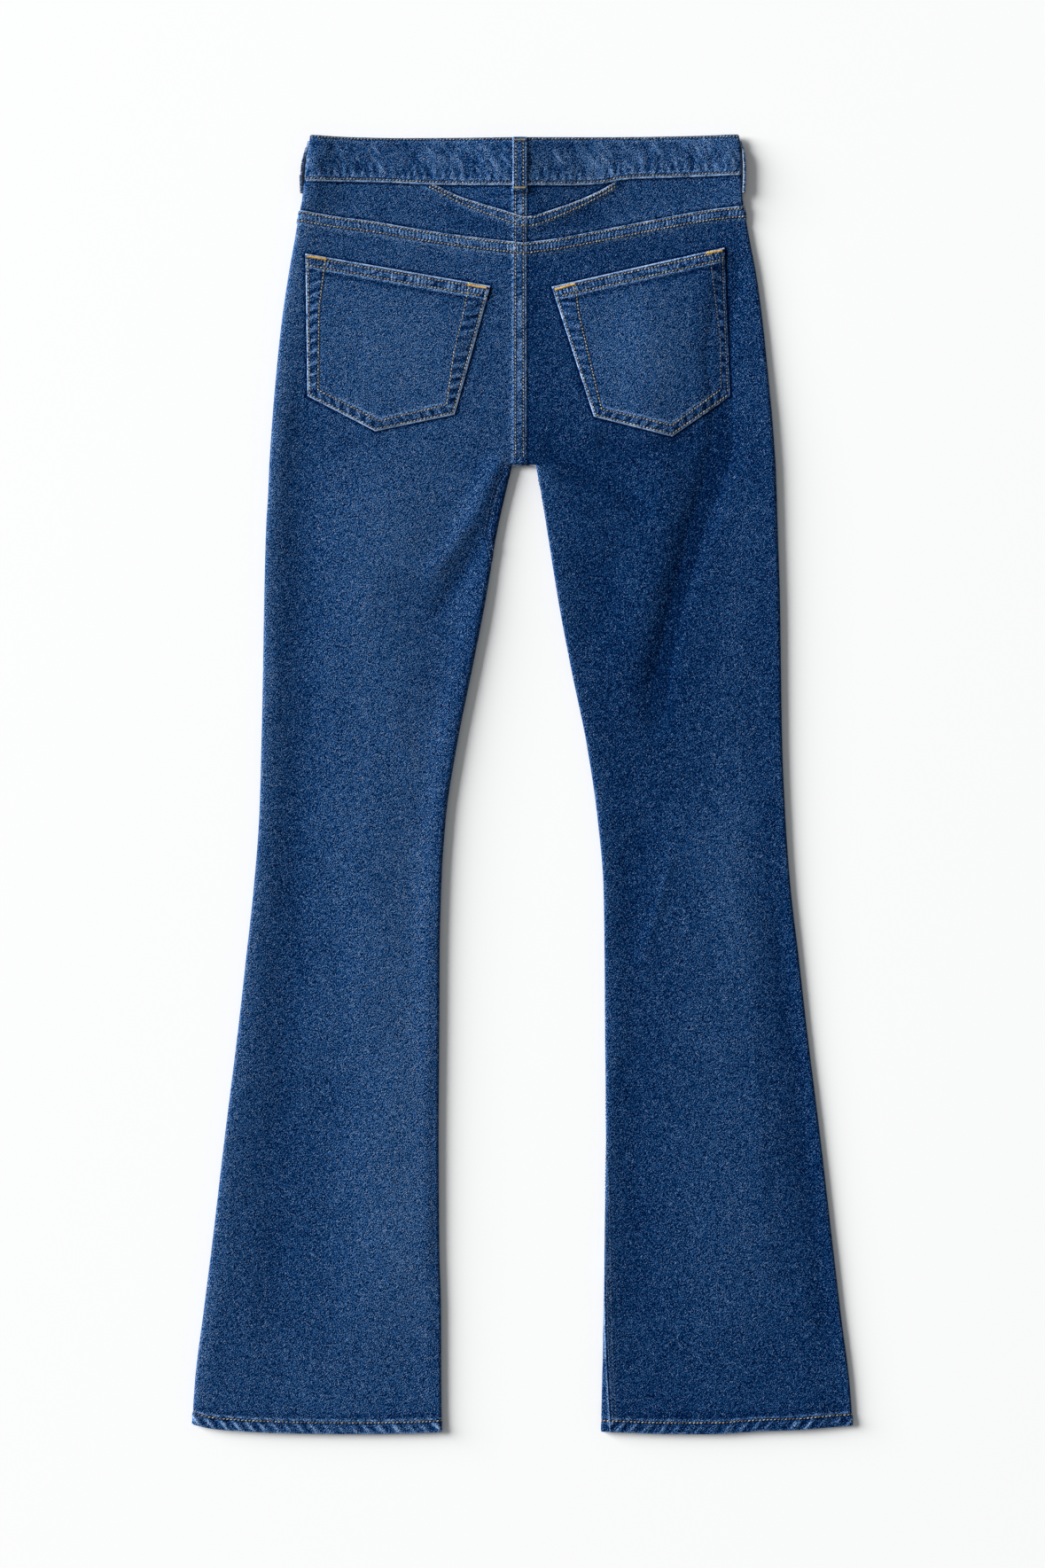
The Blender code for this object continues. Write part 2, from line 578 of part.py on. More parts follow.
def band_lift(x):
    """How far the front of the waistband is lifted: over the button, and at the side loops."""
    return BUTTON_LIFT * (1 - ease(11, 40, np.abs(x)))


def band_path(v):
    """Outer face of the waistband at one height: from the lapped end at the front, under to the left
    fold, over the back to the right fold, and under again to the end that carries the button."""
    left, right = float(band_side[LEFT](1086 + 41 * v)), float(band_side[RIGHT](1086 + 41 * v))
    pts = []
    for x in [14.0, 7.0, 0.0, -7.0, -14.0, -22.0, -30.0] + [-x for x in FRONT_STATIONS[1:]]:
        pts.append((x, float(band_lift(x)), 0))
    for x in (-left + 14, -left + 8, -left + BAND_R):
        pts.append((x, SIDE_LIFT * float(1 - ease(11, 26, left + x)), 0))
    for k in range(1, 4):
        a = math.radians(-90 - 45 * k)
        pts.append((-left + BAND_R + BAND_R * math.cos(a), SIDE_LIFT + BAND_R + BAND_R * math.sin(a), 0))
    for x in [-left + BAND_R, -left + 12, -left + 26] + list(np.linspace(-117, 117, 14)) + [right - 26, right - 12, right - BAND_R]:
        edge = min(left + x, right - x) - BAND_R
        z = 5.7 + 4.5 * float(1 - ease(22, 76, abs(x))) + (SIDE_LIFT + 2 * BAND_R - 5.7) * math.exp(-(edge / 15.0) ** 2)
        pts.append((x, z, 1))
    for k in range(1, 4):
        a = math.radians(90 - 45 * k)
        pts.append((right - BAND_R + BAND_R * math.cos(a), SIDE_LIFT + BAND_R + BAND_R * math.sin(a), 0))
    for x in (right - BAND_R, right - 8, right - 14):
        pts.append((x, SIDE_LIFT * float(1 - ease(11, 26, right - x)), 0))
    for x in FRONT_STATIONS[:0:-1] + [34.0, 28.0, 21.0, 14.0, 7.0, 0.0, -7.0, -14.0, -22.0, -30.0]:
        over = (BAND_WALL + 0.35) * float(1 - ease(17, 38, x))
        pts.append((x, float(band_lift(x)) + over, 0))
    return pts


def waistband():
    grid, normals = [], []
    for v in (0.0, 0.5, 1.0):
        path = np.array(band_path(v))
        x, z, back = path[:, 0], path[:, 1], path[:, 2] > 0.5
        dip = BAND_DIP * (1 - ease(20, 175, np.abs(x))) * ~back
        y = band_bottom(x) + (band_top(x) - band_bottom(x)) * v - dip
        grid.append(np.stack([x, y, z], axis=1))
        tangent = np.gradient(path[:, :2], axis=0)
        tangent /= np.linalg.norm(tangent, axis=1, keepdims=True)
        normals.append(np.stack([-tangent[:, 1] * 1.0, 0 * x, tangent[:, 0]], axis=1))
    return shell("waistband", np.array(grid), BAND_WALL, "denim_band", np.array(normals))


waistband()


def band_back_height(x):
    """Height of the waistband's outer face on the back, near the centre."""
    return 5.7 + 4.5 * (1 - ease(22, 76, np.abs(x)))


# ------------------------------------------------------------------ belt loops
def back_loop():
    """A strip over the waistband at the centre back, fixed at both ends and slack between them."""
    x0, x1 = -2.3 - LOOP_W / 2, -2.3 + LOOP_W / 2
    stations = [1077.2, 1080.0, 1083.0, 1085.5, 1090.0, 1098.0, 1106.0, 1114.0, 1120.0, 1123.8]
    grid = []
    for y in stations:
        t = (y - 1077.2) / 46.6
        on_band = float(ease(1079.5, 1086.0, y))
        ground = (1 - on_band) * (9.4 + 0.0) + on_band * 10.2
        z = ground + GAP + 0.1 + LOOP_WALL + 1.5 * math.sin(math.pi * t) ** 2
        grid.append([(x, y, z) for x in np.linspace(x0, x1, 3)])
    grid = np.array(grid)
    return shell("belt_loop_back", grid, LOOP_WALL, "denim_loop", straight_up(grid))


def side_loop(side, name):
    """A strip that starts under the waistband and comes round its side fold, standing a little off it."""
    grid, normals = [], []
    for y in (1077.0, 1084.0, 1092.0, 1101.0, 1111.0, 1121.0):
        edge = float(band_side[side](y)) if y > 1086 else float(outer(side, y))
        edge = max(edge, float(outer(side, y))) if y < 1092 else edge
        r = BAND_R + GAP + LOOP_WALL
        wide = r + 0.2 + 2.2 * math.sin(math.pi * min(max((y - 1072.0) / 52.0, 0), 1)) ** 1.5
        end = -25 + 55 * float(1 - ease(1106, 1123, y))
        cx, cz = edge - BAND_R, SIDE_LIFT + BAND_R
        row, nrow = [], []
        for x in (edge - 8.0, edge - BAND_R - 2.0):
            row.append((side * x, y, 0.0))
            nrow.append((0, 0, -1))
        for k in range(6):
            a = math.radians(-90 + (end + 90) * k / 5)
            row.append((side * (cx + wide * math.cos(a)), y, cz + r * math.sin(a)))
            n = np.array([side * math.cos(a) / wide, 0, math.sin(a) / r])
            nrow.append(n / np.linalg.norm(n))
        grid.append(row)
        normals.append(nrow)
    return shell(name, np.array(grid), LOOP_WALL, "denim_loop", np.array(normals))


back_loop()
side_loop(LEFT, "belt_loop_side_left")
side_loop(RIGHT, "belt_loop_side_right")


# ------------------------------------------------------------------ button
def button():
    """A flat-headed tack button at the front of the waistband: the head is under the lapped end."""
    steps = 20
    y0 = float(band_front_edge(RIGHT, np.array(0.0))) + 20.5
    profile = [(0.0, 0.0), (6.2, 0.0), (BUTTON_D / 2 - 0.7, 0.25), (BUTTON_D / 2, 0.9), (BUTTON_D / 2 - 0.4, BUTTON_T - 0.35),
               (BUTTON_D / 2 - 1.0, BUTTON_T - 0.1), (0.0, BUTTON_T - 0.1)]
    verts, rings = [], []
    for r, z in profile:
        if r == 0:
            verts.append((0.0, y0, z))
            rings.append([len(verts) - 1])
        else:
            ring = []
            for k in range(steps):
                a = 2 * math.pi * k / steps
                verts.append((r * math.cos(a), y0 + r * math.sin(a), z))
                ring.append(len(verts) - 1)
            rings.append(ring)
    faces = []
    for lower, upper in zip(rings, rings[1:]):
        for k in range(steps):
            j = (k + 1) % steps
            if len(lower) == 1:
                faces.append((lower[0], upper[j], upper[k]))
            elif len(upper) == 1:
                faces.append((lower[k], lower[j], upper[0]))
            else:
                faces.append((lower[k], lower[j], upper[j], upper[k]))
    return add_object("waist_button", verts, faces, "button_metal")


button()
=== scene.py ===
# Looks of the flared jeans, lying flat with the back up.
#
# Every sewn piece is a fine closed shell on its CAD solid's place: the outer face is laid out row by row
# across the garment, with the soft folds, the raised felled seams, the puckers beside the stitching and
# the rolled edges in the mesh itself. Stitches are small threads of their own.
# Helper sizes are millimetres: x from the centre back line (+x is the wearer's right), y above the hem,
# z above the surface. They become metres in the CAD's frame when a mesh is made.

import math

import bpy
import numpy as np
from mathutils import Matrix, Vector


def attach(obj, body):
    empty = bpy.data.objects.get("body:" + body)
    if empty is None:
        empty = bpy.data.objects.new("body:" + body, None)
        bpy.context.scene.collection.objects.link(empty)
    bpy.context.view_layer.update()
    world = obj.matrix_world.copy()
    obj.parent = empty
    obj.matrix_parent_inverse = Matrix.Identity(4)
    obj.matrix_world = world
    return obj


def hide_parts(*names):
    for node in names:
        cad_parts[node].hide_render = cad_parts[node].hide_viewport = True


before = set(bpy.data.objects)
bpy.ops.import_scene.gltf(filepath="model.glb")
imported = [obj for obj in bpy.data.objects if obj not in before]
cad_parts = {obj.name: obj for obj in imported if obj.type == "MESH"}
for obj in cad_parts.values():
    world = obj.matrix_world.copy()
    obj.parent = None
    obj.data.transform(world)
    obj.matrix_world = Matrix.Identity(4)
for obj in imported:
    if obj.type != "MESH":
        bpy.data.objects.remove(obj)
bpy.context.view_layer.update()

# ------------------------------------------------------------------ sizes, as in the CAD source
LENGTH = 1127.4
DENIM = 1.2
BAND_WALL = 2.4
POCKET_WALL = 1.3
GAP = 0.3
FOLD_R = 3.1
SEAM_IN = 9.0
CROTCH_Y = 841.0
FLY_BOTTOM = 926.0
FLY_OVER = 4.0
FLY_UNDER = 24.0
LAYER = 1.7
SIDE_LIFT = 2.1
BAND_DIP = 12.0
LOOP_W = 12.5
BAND_R = 3.0
BUTTON_LIFT = 2.2
FRONT_STATIONS = [14.0, 40.0, 68.0, 100.0, 134.0, 166.0]

# The centre back seam: the left side's edge lies over the right side.
CB_EDGE = 3.8          # where that edge lies, right of the centre line
CB_WIDE = 11.8         # width of the felled seam
CB_ROWS = (2.9, 9.8)   # its two rows of stitches, from the edge
YOKE_ROWS_AT = (1.9, 9.0)
BAND_HIGH = 1.0        # how much a felled seam stands up
BAND_DROP = 1.1        # how far the waistband's lower fold laps over the seam under it

# Corners of the pocket patches, and the inner row of stitches that holds their turned edge, in order from
# the mouth's outer corner: down the outer side, round the point and up the inner side.
POCKET_EDGE = {
    -1: [(-188.2, 1024.0), (-186.4, 900.4), (-127.4, 869.7), (-58.8, 884.2), (-27.7, 996.0)],
    1: [(175.3, 1029.3), (180.3, 900.4), (129.8, 865.2), (62.0, 882.5), (25.3, 995.3)],
}
POCKET_INNER = {
    -1: [(-170.6, 1021.4), (-176.4, 975.6), (-177.2, 905.6), (-124.4, 878.6), (-65.6, 892.9), (-59.5, 937.1), (-50.4, 975.6), (-46.0, 999.4)],
    1: [(162.0, 1027.0), (168.2, 979.4), (171.6, 952.5), (172.3, 906.4), (129.5, 874.8), (68.6, 888.9), (54.3, 948.6), (48.9, 971.7), (45.4, 999.0)],
}
MOUTH_ROWS = (3.0, 9.8)
MOUTH_WIDE = 12.4
EDGE_ROW = 2.1

LEGS = [
    # height, left outer, left inner, right outer, right inner
    (0.0, 287.2, 70.0, 287.2, 68.0),
    (45.0, 284.4, 70.5, 283.8, 69.0),
    (105.0, 277.0, 70.7, 276.2, 70.3),
    (165.0, 269.4, 72.2, 269.2, 71.2),
    (260.0, 258.2, 72.8, 258.2, 72.4),
    (350.0, 247.0, 72.2, 247.0, 71.6),
    (415.0, 239.7, 71.9, 239.6, 71.2),
    (475.0, 233.2, 70.4, 232.6, 70.2),
    (535.0, 228.6, 66.4, 228.2, 65.0),
    (600.0, 226.6, 56.4, 225.4, 55.4),
    (660.0, 225.3, 44.4, 224.4, 43.0),
    (720.0, 224.3, 32.6, 223.6, 31.6),
    (785.0, 222.6, 21.6, 221.6, 21.2),
    (815.0, 220.9, 15.0, 220.7, 16.4),
    (832.0, 220.1, 10.8, 220.1, 13.2),
    (841.0, 219.8, 8.9, 219.8, 11.9),
]
SEAT = [
    # height, left outer, right outer
    (841.0, 219.8, 219.8),
    (885.0, 216.8, 216.5),
    (915.0, 214.2, 213.6),
    (960.0, 209.6, 209.1),
    (1005.0, 203.2, 203.1),
    (1035.0, 197.9, 197.4),
    (1060.0, 193.6, 192.9),
    (1072.0, 191.0, 191.0),
    (1090.0, 189.8, 190.0),
]
HEM_LEFT = [(70.0, 1.8), (92.0, 0.8), (146.0, 0.0), (207.0, 0.8), (247.0, 2.7), (269.0, 4.6), (287.0, 8.5)]
HEM_RIGHT = [(68.0, 2.1), (131.0, 0.0), (164.0, 0.0), (202.0, 2.3), (243.0, 3.9), (261.0, 5.4), (287.5, 7.3)]
YOKE_LEFT = [(0.0, 1033.6), (38.0, 1038.0), (69.0, 1042.2), (100.0, 1047.2), (130.0, 1052.4), (161.0, 1056.4), (193.0, 1061.8)]
YOKE_RIGHT = [(0.0, 1033.6), (24.0, 1036.4), (54.0, 1041.8), (85.0, 1048.0), (131.0, 1057.0), (162.0, 1062.4), (193.0, 1065.8)]
# Upper edge of the seam round the shaped insert, which runs on under the waistband.
VEE_LEFT = [(0.0, 1055.8), (8.0, 1058.6), (23.0, 1063.3), (38.0, 1068.0), (54.0, 1073.4), (69.0, 1080.6), (79.0, 1085.4), (90.0, 1091.0)]
VEE_RIGHT = [(0.0, 1055.3), (8.0, 1056.4), (23.0, 1060.8), (39.0, 1066.4), (54.0, 1072.4), (70.0, 1080.2), (83.0, 1088.2), (92.0, 1093.7)]
BAND_BOTTOM = [(-190.0, 1086.4), (-184.0, 1087.4), (-146.0, 1087.2), (-107.0, 1086.1), (-84.0, 1084.9), (-54.0, 1084.2), (0.0, 1083.6),
               (39.0, 1083.8), (70.0, 1085.5), (85.0, 1088.6), (100.0, 1089.9), (131.0, 1090.8), (162.0, 1091.9), (190.0, 1093.0)]
BAND_TOP = [(-190.0, 1127.0), (-146.0, 1125.0), (-107.0, 1124.2), (0.0, 1124.2), (39.0, 1124.6), (85.0, 1125.0), (131.0, 1125.7), (162.0, 1126.5), (190.0, 1127.4)]
BAND_SIDES = [
    # height, left, right
    (1086.0, 189.0, 189.6),
    (1099.0, 188.3, 189.8),
    (1110.0, 186.7, 189.6),
    (1119.0, 185.2, 188.9),
    (1128.0, 184.2, 187.4),
]
INSEAM = [
    # height, left leg, right leg
    (0.0, -9.0, 10.3),
    (43.0, -9.0, 6.6),
    (105.0, -9.0, 2.8),
    (190.0, -9.0, 0.0),
    (260.0, -9.0, -4.0),
    (340.0, -9.0, -9.0),
    (730.0, -9.0, -9.0),
    (765.0, 0.0, -9.0),
    (785.0, 7.4, -8.0),
    (805.0, 7.4, -6.0),
    (820.0, 7.0, -3.6),
    (832.0, 3.2, -1.2),
    (838.0, 0.0, 0.0),
]
# Radius of the rolled folds.
ROLLS = [
    # height, left outer, left inner, right outer, right inner
    (0.0, 2.6, 2.5, 2.0, 2.5),
    (120.0, 2.6, 2.6, 1.9, 2.5),
    (320.0, 2.7, 3.0, 1.9, 2.5),
    (520.0, 2.7, 3.5, 2.5, 2.5),
    (700.0, 2.8, 3.6, 2.9, 2.5),
    (770.0, 2.9, 3.0, 3.0, 2.5),
    (810.0, 3.0, 2.9, 3.1, 2.6),
    (841.0, 3.1, 3.0, 3.1, 3.0),
]
# Soft folds of the upper side. Each is a path with its half width, its height (a trough is below zero) and how
# much lighter (or darker) its colour is painted there, in steps of 1/255: partly worn dye, partly painted light on the
# crests and painted shade in the troughs.
CREASES = [
    # left leg
    ("crown", [(-128, 880), (-128, 700), (-128, 520), (-120, 330), (-116, 50)], 40, 3.0, 9),
    ("side trough", [(-190, 930), (-193, 790), (-194, 620), (-199, 500), (-202, 380), (-208, 244), (-218, 50)], 19, -1.6, -11),
    ("inner face", [(-66, 640), (-90, 500), (-94, 300), (-96, 60)], 26, 0.0, 11),
    # painted shade along the left leg's inner edge
    ("inner shade", [(-12, 832), (-22, 790), (-30, 735), (-36, 706), (-53, 629), (-66, 545), (-72, 470)], 10, 0.0, -14),
    ("thigh roll", [(-11, 856), (-23, 840), (-33, 819), (-42, 801), (-53, 783), (-66, 762), (-82, 740)], 9, 2.4, 4),
    # painted shade in the trough below the thigh roll
    ("below the roll", [(-5, 843), (-13, 827), (-21, 806), (-29, 788), (-39, 770), (-50, 750), (-63, 730), (-80, 706)], 8, -1.4, -15),
    ("upper thigh", [(-60, 850), (-96, 800), (-110, 740)], 40, 0.8, 9),
    ("knee drag", [(-118, 620), (-86, 560)], 10, 0.6, 4),
    ("shin drag", [(-215, 470), (-150, 400)], 12, -0.5, -3),
    ("flare fold", [(-176, 330), (-186, 60)], 26, -0.6, -7),
    ("seat drag", [(-30, 860), (-90, 880), (-150, 878)], 13, 0.8, 4),
    ("under pocket", [(-205, 880), (-160, 858), (-110, 858)], 10, -0.9, -7),
    # right leg
    # the hip valley's dark tone is mostly painted shade
    ("hip valley", [(186, 1030), (178, 985), (169, 930), (176, 893), (175, 865), (164, 820), (150, 775), (132, 715), (120, 660), (113, 600)], 12, -3.2, -19),
    ("hip crown", [(110, 1000), (112, 930), (112, 880), (124, 820), (110, 760), (97, 700), (88, 640)], 22, 2.2, 3),
    ("outer thigh", [(190, 850), (192, 780), (188, 700), (184, 620), (184, 500), (192, 380)], 24, 1.0, 12),
    ("inner thigh", [(58, 770), (78, 700), (98, 640)], 16, -0.3, -5),
    ("crotch drag", [(14, 858), (52, 836), (86, 818), (112, 792)], 10, -1.5, -10),
    ("crotch ridge", [(18, 835), (50, 800), (78, 760)], 14, 1.2, 2),
    ("pocket drag", [(60, 862), (110, 852), (160, 868)], 10, -1.3, -10),
    ("knee line", [(131, 512), (118, 460), (101, 405)], 4.5, 0.8, 5),
    ("knee dip", [(106, 540), (96, 480), (92, 410)], 14, -0.9, -6),
    ("shin dip", [(96, 350), (94, 220), (96, 90)], 18, -0.7, -4),
    ("shin crown", [(160, 560), (166, 420), (172, 270), (176, 60)], 42, 1.5, 14),
    ("flare drop", [(224, 470), (240, 330), (254, 200), (266, 60)], 16, -1.3, -8),
    ("flare line", [(196, 420), (206, 250), (214, 120)], 8, 0.4, 2),
]

FOLD_DEPTH = 0.85
LEFT, RIGHT = -1, 1


def curve(table, column):
    """Smooth function through one column of a table (monotone cubic)."""
    xs = np.array([row[0] for row in table], float)
    ys = np.array([row[column] for row in table], float)
    step = np.diff(xs)
    slope = np.diff(ys) / step
    tangent = np.zeros(len(xs))
    tangent[0], tangent[-1] = slope[0], slope[-1]
    for i in range(1, len(xs) - 1):
        if slope[i - 1] * slope[i] > 0:
            w1, w2 = 2 * step[i] + step[i - 1], step[i] + 2 * step[i - 1]
            tangent[i] = (w1 + w2) / (w1 / slope[i - 1] + w2 / slope[i])

    def value(x):
        x = np.clip(np.asarray(x, float), xs[0], xs[-1])
        i = np.clip(np.searchsorted(xs, x, side="right") - 1, 0, len(xs) - 2)
        t = (x - xs[i]) / step[i]
        return ((2 * t**3 - 3 * t**2 + 1) * ys[i] + (t**3 - 2 * t**2 + t) * step[i] * tangent[i]
                + (3 * t**2 - 2 * t**3) * ys[i + 1] + (t**3 - t**2) * step[i] * tangent[i + 1])

    return value


def ease(a, b, x):
    t = np.clip((np.asarray(x, float) - a) / (b - a), 0.0, 1.0)
    return t * t * (3 - 2 * t)


def bell(x, width):
    return np.exp(-(np.asarray(x, float) / width) ** 2)


leg_outer = {LEFT: curve(LEGS, 1), RIGHT: curve(LEGS, 3)}
leg_inner = {LEFT: curve(LEGS, 2), RIGHT: curve(LEGS, 4)}
seat_outer = {LEFT: curve(SEAT, 1), RIGHT: curve(SEAT, 2)}
hem_edge = {LEFT: curve(HEM_LEFT, 1), RIGHT: curve(HEM_RIGHT, 1)}
yoke_edge = {LEFT: curve(YOKE_LEFT, 1), RIGHT: curve(YOKE_RIGHT, 1)}
vee_edge = {LEFT: curve(VEE_LEFT, 1), RIGHT: curve(VEE_RIGHT, 1)}
inseam = {LEFT: curve(INSEAM, 1), RIGHT: curve(INSEAM, 2)}
roll_out = {LEFT: curve(ROLLS, 1), RIGHT: curve(ROLLS, 3)}
roll_in = {LEFT: curve(ROLLS, 2), RIGHT: curve(ROLLS, 4)}
band_bottom, band_top = curve(BAND_BOTTOM, 1), curve(BAND_TOP, 1)
band_side = {LEFT: curve(BAND_SIDES, 1), RIGHT: curve(BAND_SIDES, 2)}


# ------------------------------------------------------------------ seeded noise
def lattice(ix, iy, seed):
    h = (ix * 73856093) ^ (iy * 19349663) ^ (seed * 83492791)
    h = (h & 0xFFFFFFFF) * 1274126177 & 0xFFFFFFFF
    h = ((h ^ (h >> 15)) * 668265263) & 0xFFFFFFFF
    h = h ^ (h >> 13)
    return (h & 0xFFFF) / 32767.5 - 1.0


def noise(x, y, seed=0):
    """Smooth value noise between -1 and 1, one cell a unit."""
    x, y = np.broadcast_arrays(np.asarray(x, float), np.asarray(y, float))
    x0, y0 = np.floor(x).astype(np.int64), np.floor(y).astype(np.int64)
    u, v = x - x0, y - y0
    u, v = u * u * u * (u * (6 * u - 15) + 10), v * v * v * (v * (6 * v - 15) + 10)
    x0, y0 = x0 + 4096, y0 + 4096
    a, b = lattice(x0, y0, seed), lattice(x0 + 1, y0, seed)
    c, d = lattice(x0, y0 + 1, seed), lattice(x0 + 1, y0 + 1, seed)
    return (a + (b - a) * u) * (1 - v) + (c + (d - c) * u) * v


def clouds(x, y, seed=0, octaves=3):
    total, size = 0.0, 0.0
    for k in range(octaves):
        total = total + noise(x * 2**k, y * 2**k, seed + 17 * k) * 0.55**k
        size += 0.55**k
    return total / size


def roping(s, period, seed, slant=0.0, across=0.0):
    """Puckers along a row of stitches: uneven waves, light on their crests."""
    s = s + slant * across
    wave = np.sin(2 * math.pi * (s / period + 0.42 * noise(s / (period * 2.7), 0.5, seed)))
    return wave * (0.66 + 0.5 * noise(s / (period * 1.9), 3.5, seed + 5))


# ------------------------------------------------------------------ the garment's form
def outer(side, y):
    return np.where(np.asarray(y) < CROTCH_Y, leg_outer[side](y), seat_outer[side](y))


def out_r(side, y):
    seat = FOLD_R - (0.9 if side == RIGHT else 0.0) * ease(850.0, 990.0, y)
    return np.where(np.asarray(y) < CROTCH_Y, roll_out[side](y), seat)


def along_path(x, y, path):
    """Distance from a path of points, and how far along it the nearest point is, from 0 to 1."""
    pts = np.array(path, float)
    seg = np.linalg.norm(np.diff(pts, axis=0), axis=1)
    start = np.concatenate([[0], np.cumsum(seg)])
    best, at = np.full(np.shape(x), 1e9), np.zeros(np.shape(x))
    for k in range(len(seg)):
        (x1, y1), (x2, y2) = pts[k], pts[k + 1]
        t = np.clip(((x - x1) * (x2 - x1) + (y - y1) * (y2 - y1)) / seg[k] ** 2, 0, 1)
        d = np.hypot(x - x1 - t * (x2 - x1), y - y1 - t * (y2 - y1))
        near = d < best
        best = np.where(near, d, best)
        at = np.where(near, (start[k] + t * seg[k]) / start[-1], at)
    return best, at


def edge_distance(x, y, corners, closed):
    """Distance from a line of corners, how far along it, and on which side."""
    pts = np.array(corners + (corners[:1] if closed else []), float)
    seg = np.linalg.norm(np.diff(pts, axis=0), axis=1)
    start = np.concatenate([[0], np.cumsum(seg)])
    best, at, sign = np.full(x.shape, 1e9), np.zeros(x.shape), np.zeros(x.shape)
    for k in range(len(seg)):
        (x1, y1), (x2, y2) = pts[k], pts[k + 1]
        ux, uy = (x2 - x1) / seg[k], (y2 - y1) / seg[k]
        t = np.clip((x - x1) * ux + (y - y1) * uy, 0, seg[k])
        d = np.hypot(x - x1 - t * ux, y - y1 - t * uy)
        near = d < best
        best = np.where(near, d, best)
        at = np.where(near, start[k] + t, at)
        sign = np.where(near, np.sign((x - x1) * uy - (y - y1) * ux), sign)
    return best, at, sign


CELL = 1.5
GRID_X = np.arange(-300.0, 300.1, CELL)
GRID_Y = np.arange(-12.0, 1140.1, CELL)


def make_relief():
    x, y = np.meshgrid(GRID_X, GRID_Y)
    z, t = np.zeros(x.shape), np.zeros(x.shape)
    for name, path, half, high, tone in CREASES:
        px, py = np.array(path, float).T
        box = ((GRID_X > px.min() - 3 * half) & (GRID_X < px.max() + 3 * half)).nonzero()[0]
        boy = ((GRID_Y > py.min() - 3 * half) & (GRID_Y < py.max() + 3 * half)).nonzero()[0]
        part = np.ix_(boy, box)
        xx, yy = x[part], y[part]
        wander = 0.22 * half * noise(xx / 60.0, yy / 60.0, len(name))
        d, at = along_path(xx + wander, yy, path)
        ends = ease(0.0, 0.16, at + 0.04) * (1 - ease(0.84, 1.0, at - 0.04))
        w = bell(d, half) * ends
        z[part] += FOLD_DEPTH * high * w
        t[part] += tone * w
    # what any cloth has that has been washed and laid down by hand
    z += 0.55 * clouds(x / 70.0, y / 120.0, 3, 2) + 0.16 * clouds(x / 21.0, y / 26.0, 4, 2) + 0.05 * clouds(x / 7.0, y / 8.0, 5, 2)
    t += 2.2 * clouds(x / 46.0, y / 60.0, 8, 3)
    return z, t


# the second grid holds the creases' tone: worn dye with painted light and shade
RELIEF, FOLD_WEAR_AND_SHADING = make_relief()


def sample(grid, x, y):
    fx = np.clip((x - GRID_X[0]) / CELL, 0, len(GRID_X) - 1.001)
    fy = np.clip((y - GRID_Y[0]) / CELL, 0, len(GRID_Y) - 1.001)
    ix, iy = fx.astype(int), fy.astype(int)
    u, v = fx - ix, fy - iy
    return ((grid[iy, ix] * (1 - u) + grid[iy, ix + 1] * u) * (1 - v)
            + (grid[iy + 1, ix] * (1 - u) + grid[iy + 1, ix + 1] * u) * v)


def side_lift(side, X, y):
    return SIDE_LIFT * ease(1056, 1070, y) * (1 - ease(11, 26, outer(side, y) - X))


def top(side, X, y):
    """Height of the upper side, before the seams' own relief."""
    y = np.asarray(y, float)
    ro, ri = out_r(side, y), roll_in[side](np.minimum(y, CROTCH_Y))
    middle = 4.3 + 0.9 * (1 - ease(12, 70, y)) + 0.3 * ease(840, 900, y) - 0.2 * ease(1000, 1060, y)
    from_outer = np.clip(outer(side, y) - ro - X, 0, None)
    from_inner = np.clip(X - leg_inner[side](np.minimum(y, CROTCH_Y)) - ri, 0, None)
    legs = 1 - ease(836, 850, y)
    edge_out = (2 * ro + SIDE_LIFT * ease(1056, 1070, y) - middle) * bell(from_outer, 20.0)
    edge_in = (2 * ri - middle) * bell(from_inner, 15.0) * legs
    fly = 5.0 * bell(X, 48.0) * ease(1012, 1072, y)
    calm = (1 - bell(from_outer, 8.0)) * (1 - bell(from_inner, 5.0) * legs) * (1 - 0.8 * ease(1010, 1050, y)) * ease(-2, 14, y)
    return np.maximum(middle + edge_out + edge_in + fly + calm * sample(RELIEF, side * X, y), 2.75)


def stretched(side, X, y):
    """The real height of a row: the lowest rows follow the hem, the highest the seam under the yoke."""
    hem = hem_edge[side](X) * (1 - ease(0, 90, y))
    high = 960.0 + (y - 960.0) * (yoke_edge[side](X) - GAP / 2 - 960.0) / 100.0
    return np.where(y > 960.0, high, y + hem)


P_LEG = np.concatenate([np.linspace(0, 1, 8, endpoint=False), np.linspace(1, 2, 22, endpoint=False),
                        np.linspace(2, 3, 240, endpoint=False), np.linspace(3, 4, 24, endpoint=False), np.linspace(4, 5, 90)])
P_SEAT = np.concatenate([np.linspace(0, 1, 8, endpoint=False), np.linspace(1, 2, 22, endpoint=False), np.linspace(2, 3, 260)])


def leg_loop(side, y):
    """The dense outline of a leg's cross-section, from the outseam round to it again: X, height, z."""
    p = P_LEG
    yr = np.full(p.shape, float(y))
    X = np.full(p.shape, 150.0)
    for k in range(3):
        if k:
            yr = stretched(side, X, float(y))
        xo, xi, ro, ri = outer(side, yr), leg_inner[side](yr), out_r(side, yr), roll_in[side](yr)
        a = (p - 1.5) * math.pi
        b = (p - 2.5) * math.pi
        X = np.select([p < 1, p < 2, p <= 3, p <= 4],
                      [xo - SEAM_IN + (SEAM_IN - ro) * p, xo - ro + ro * np.cos(a),
                       xo - ro + (xi + ri - xo + ro) * (p - 2), xi + ri + ri * np.cos(b)],
                      xi + ri + (xo - SEAM_IN - GAP - xi - ri) * (p - 4))
    z = np.select([p < 1, p < 2, p <= 3, p <= 4],
                  [0 * p, ro + ro * np.sin(a), top(side, X, yr), ri + ri * np.sin(b)], 0 * p)
    return X, yr, z


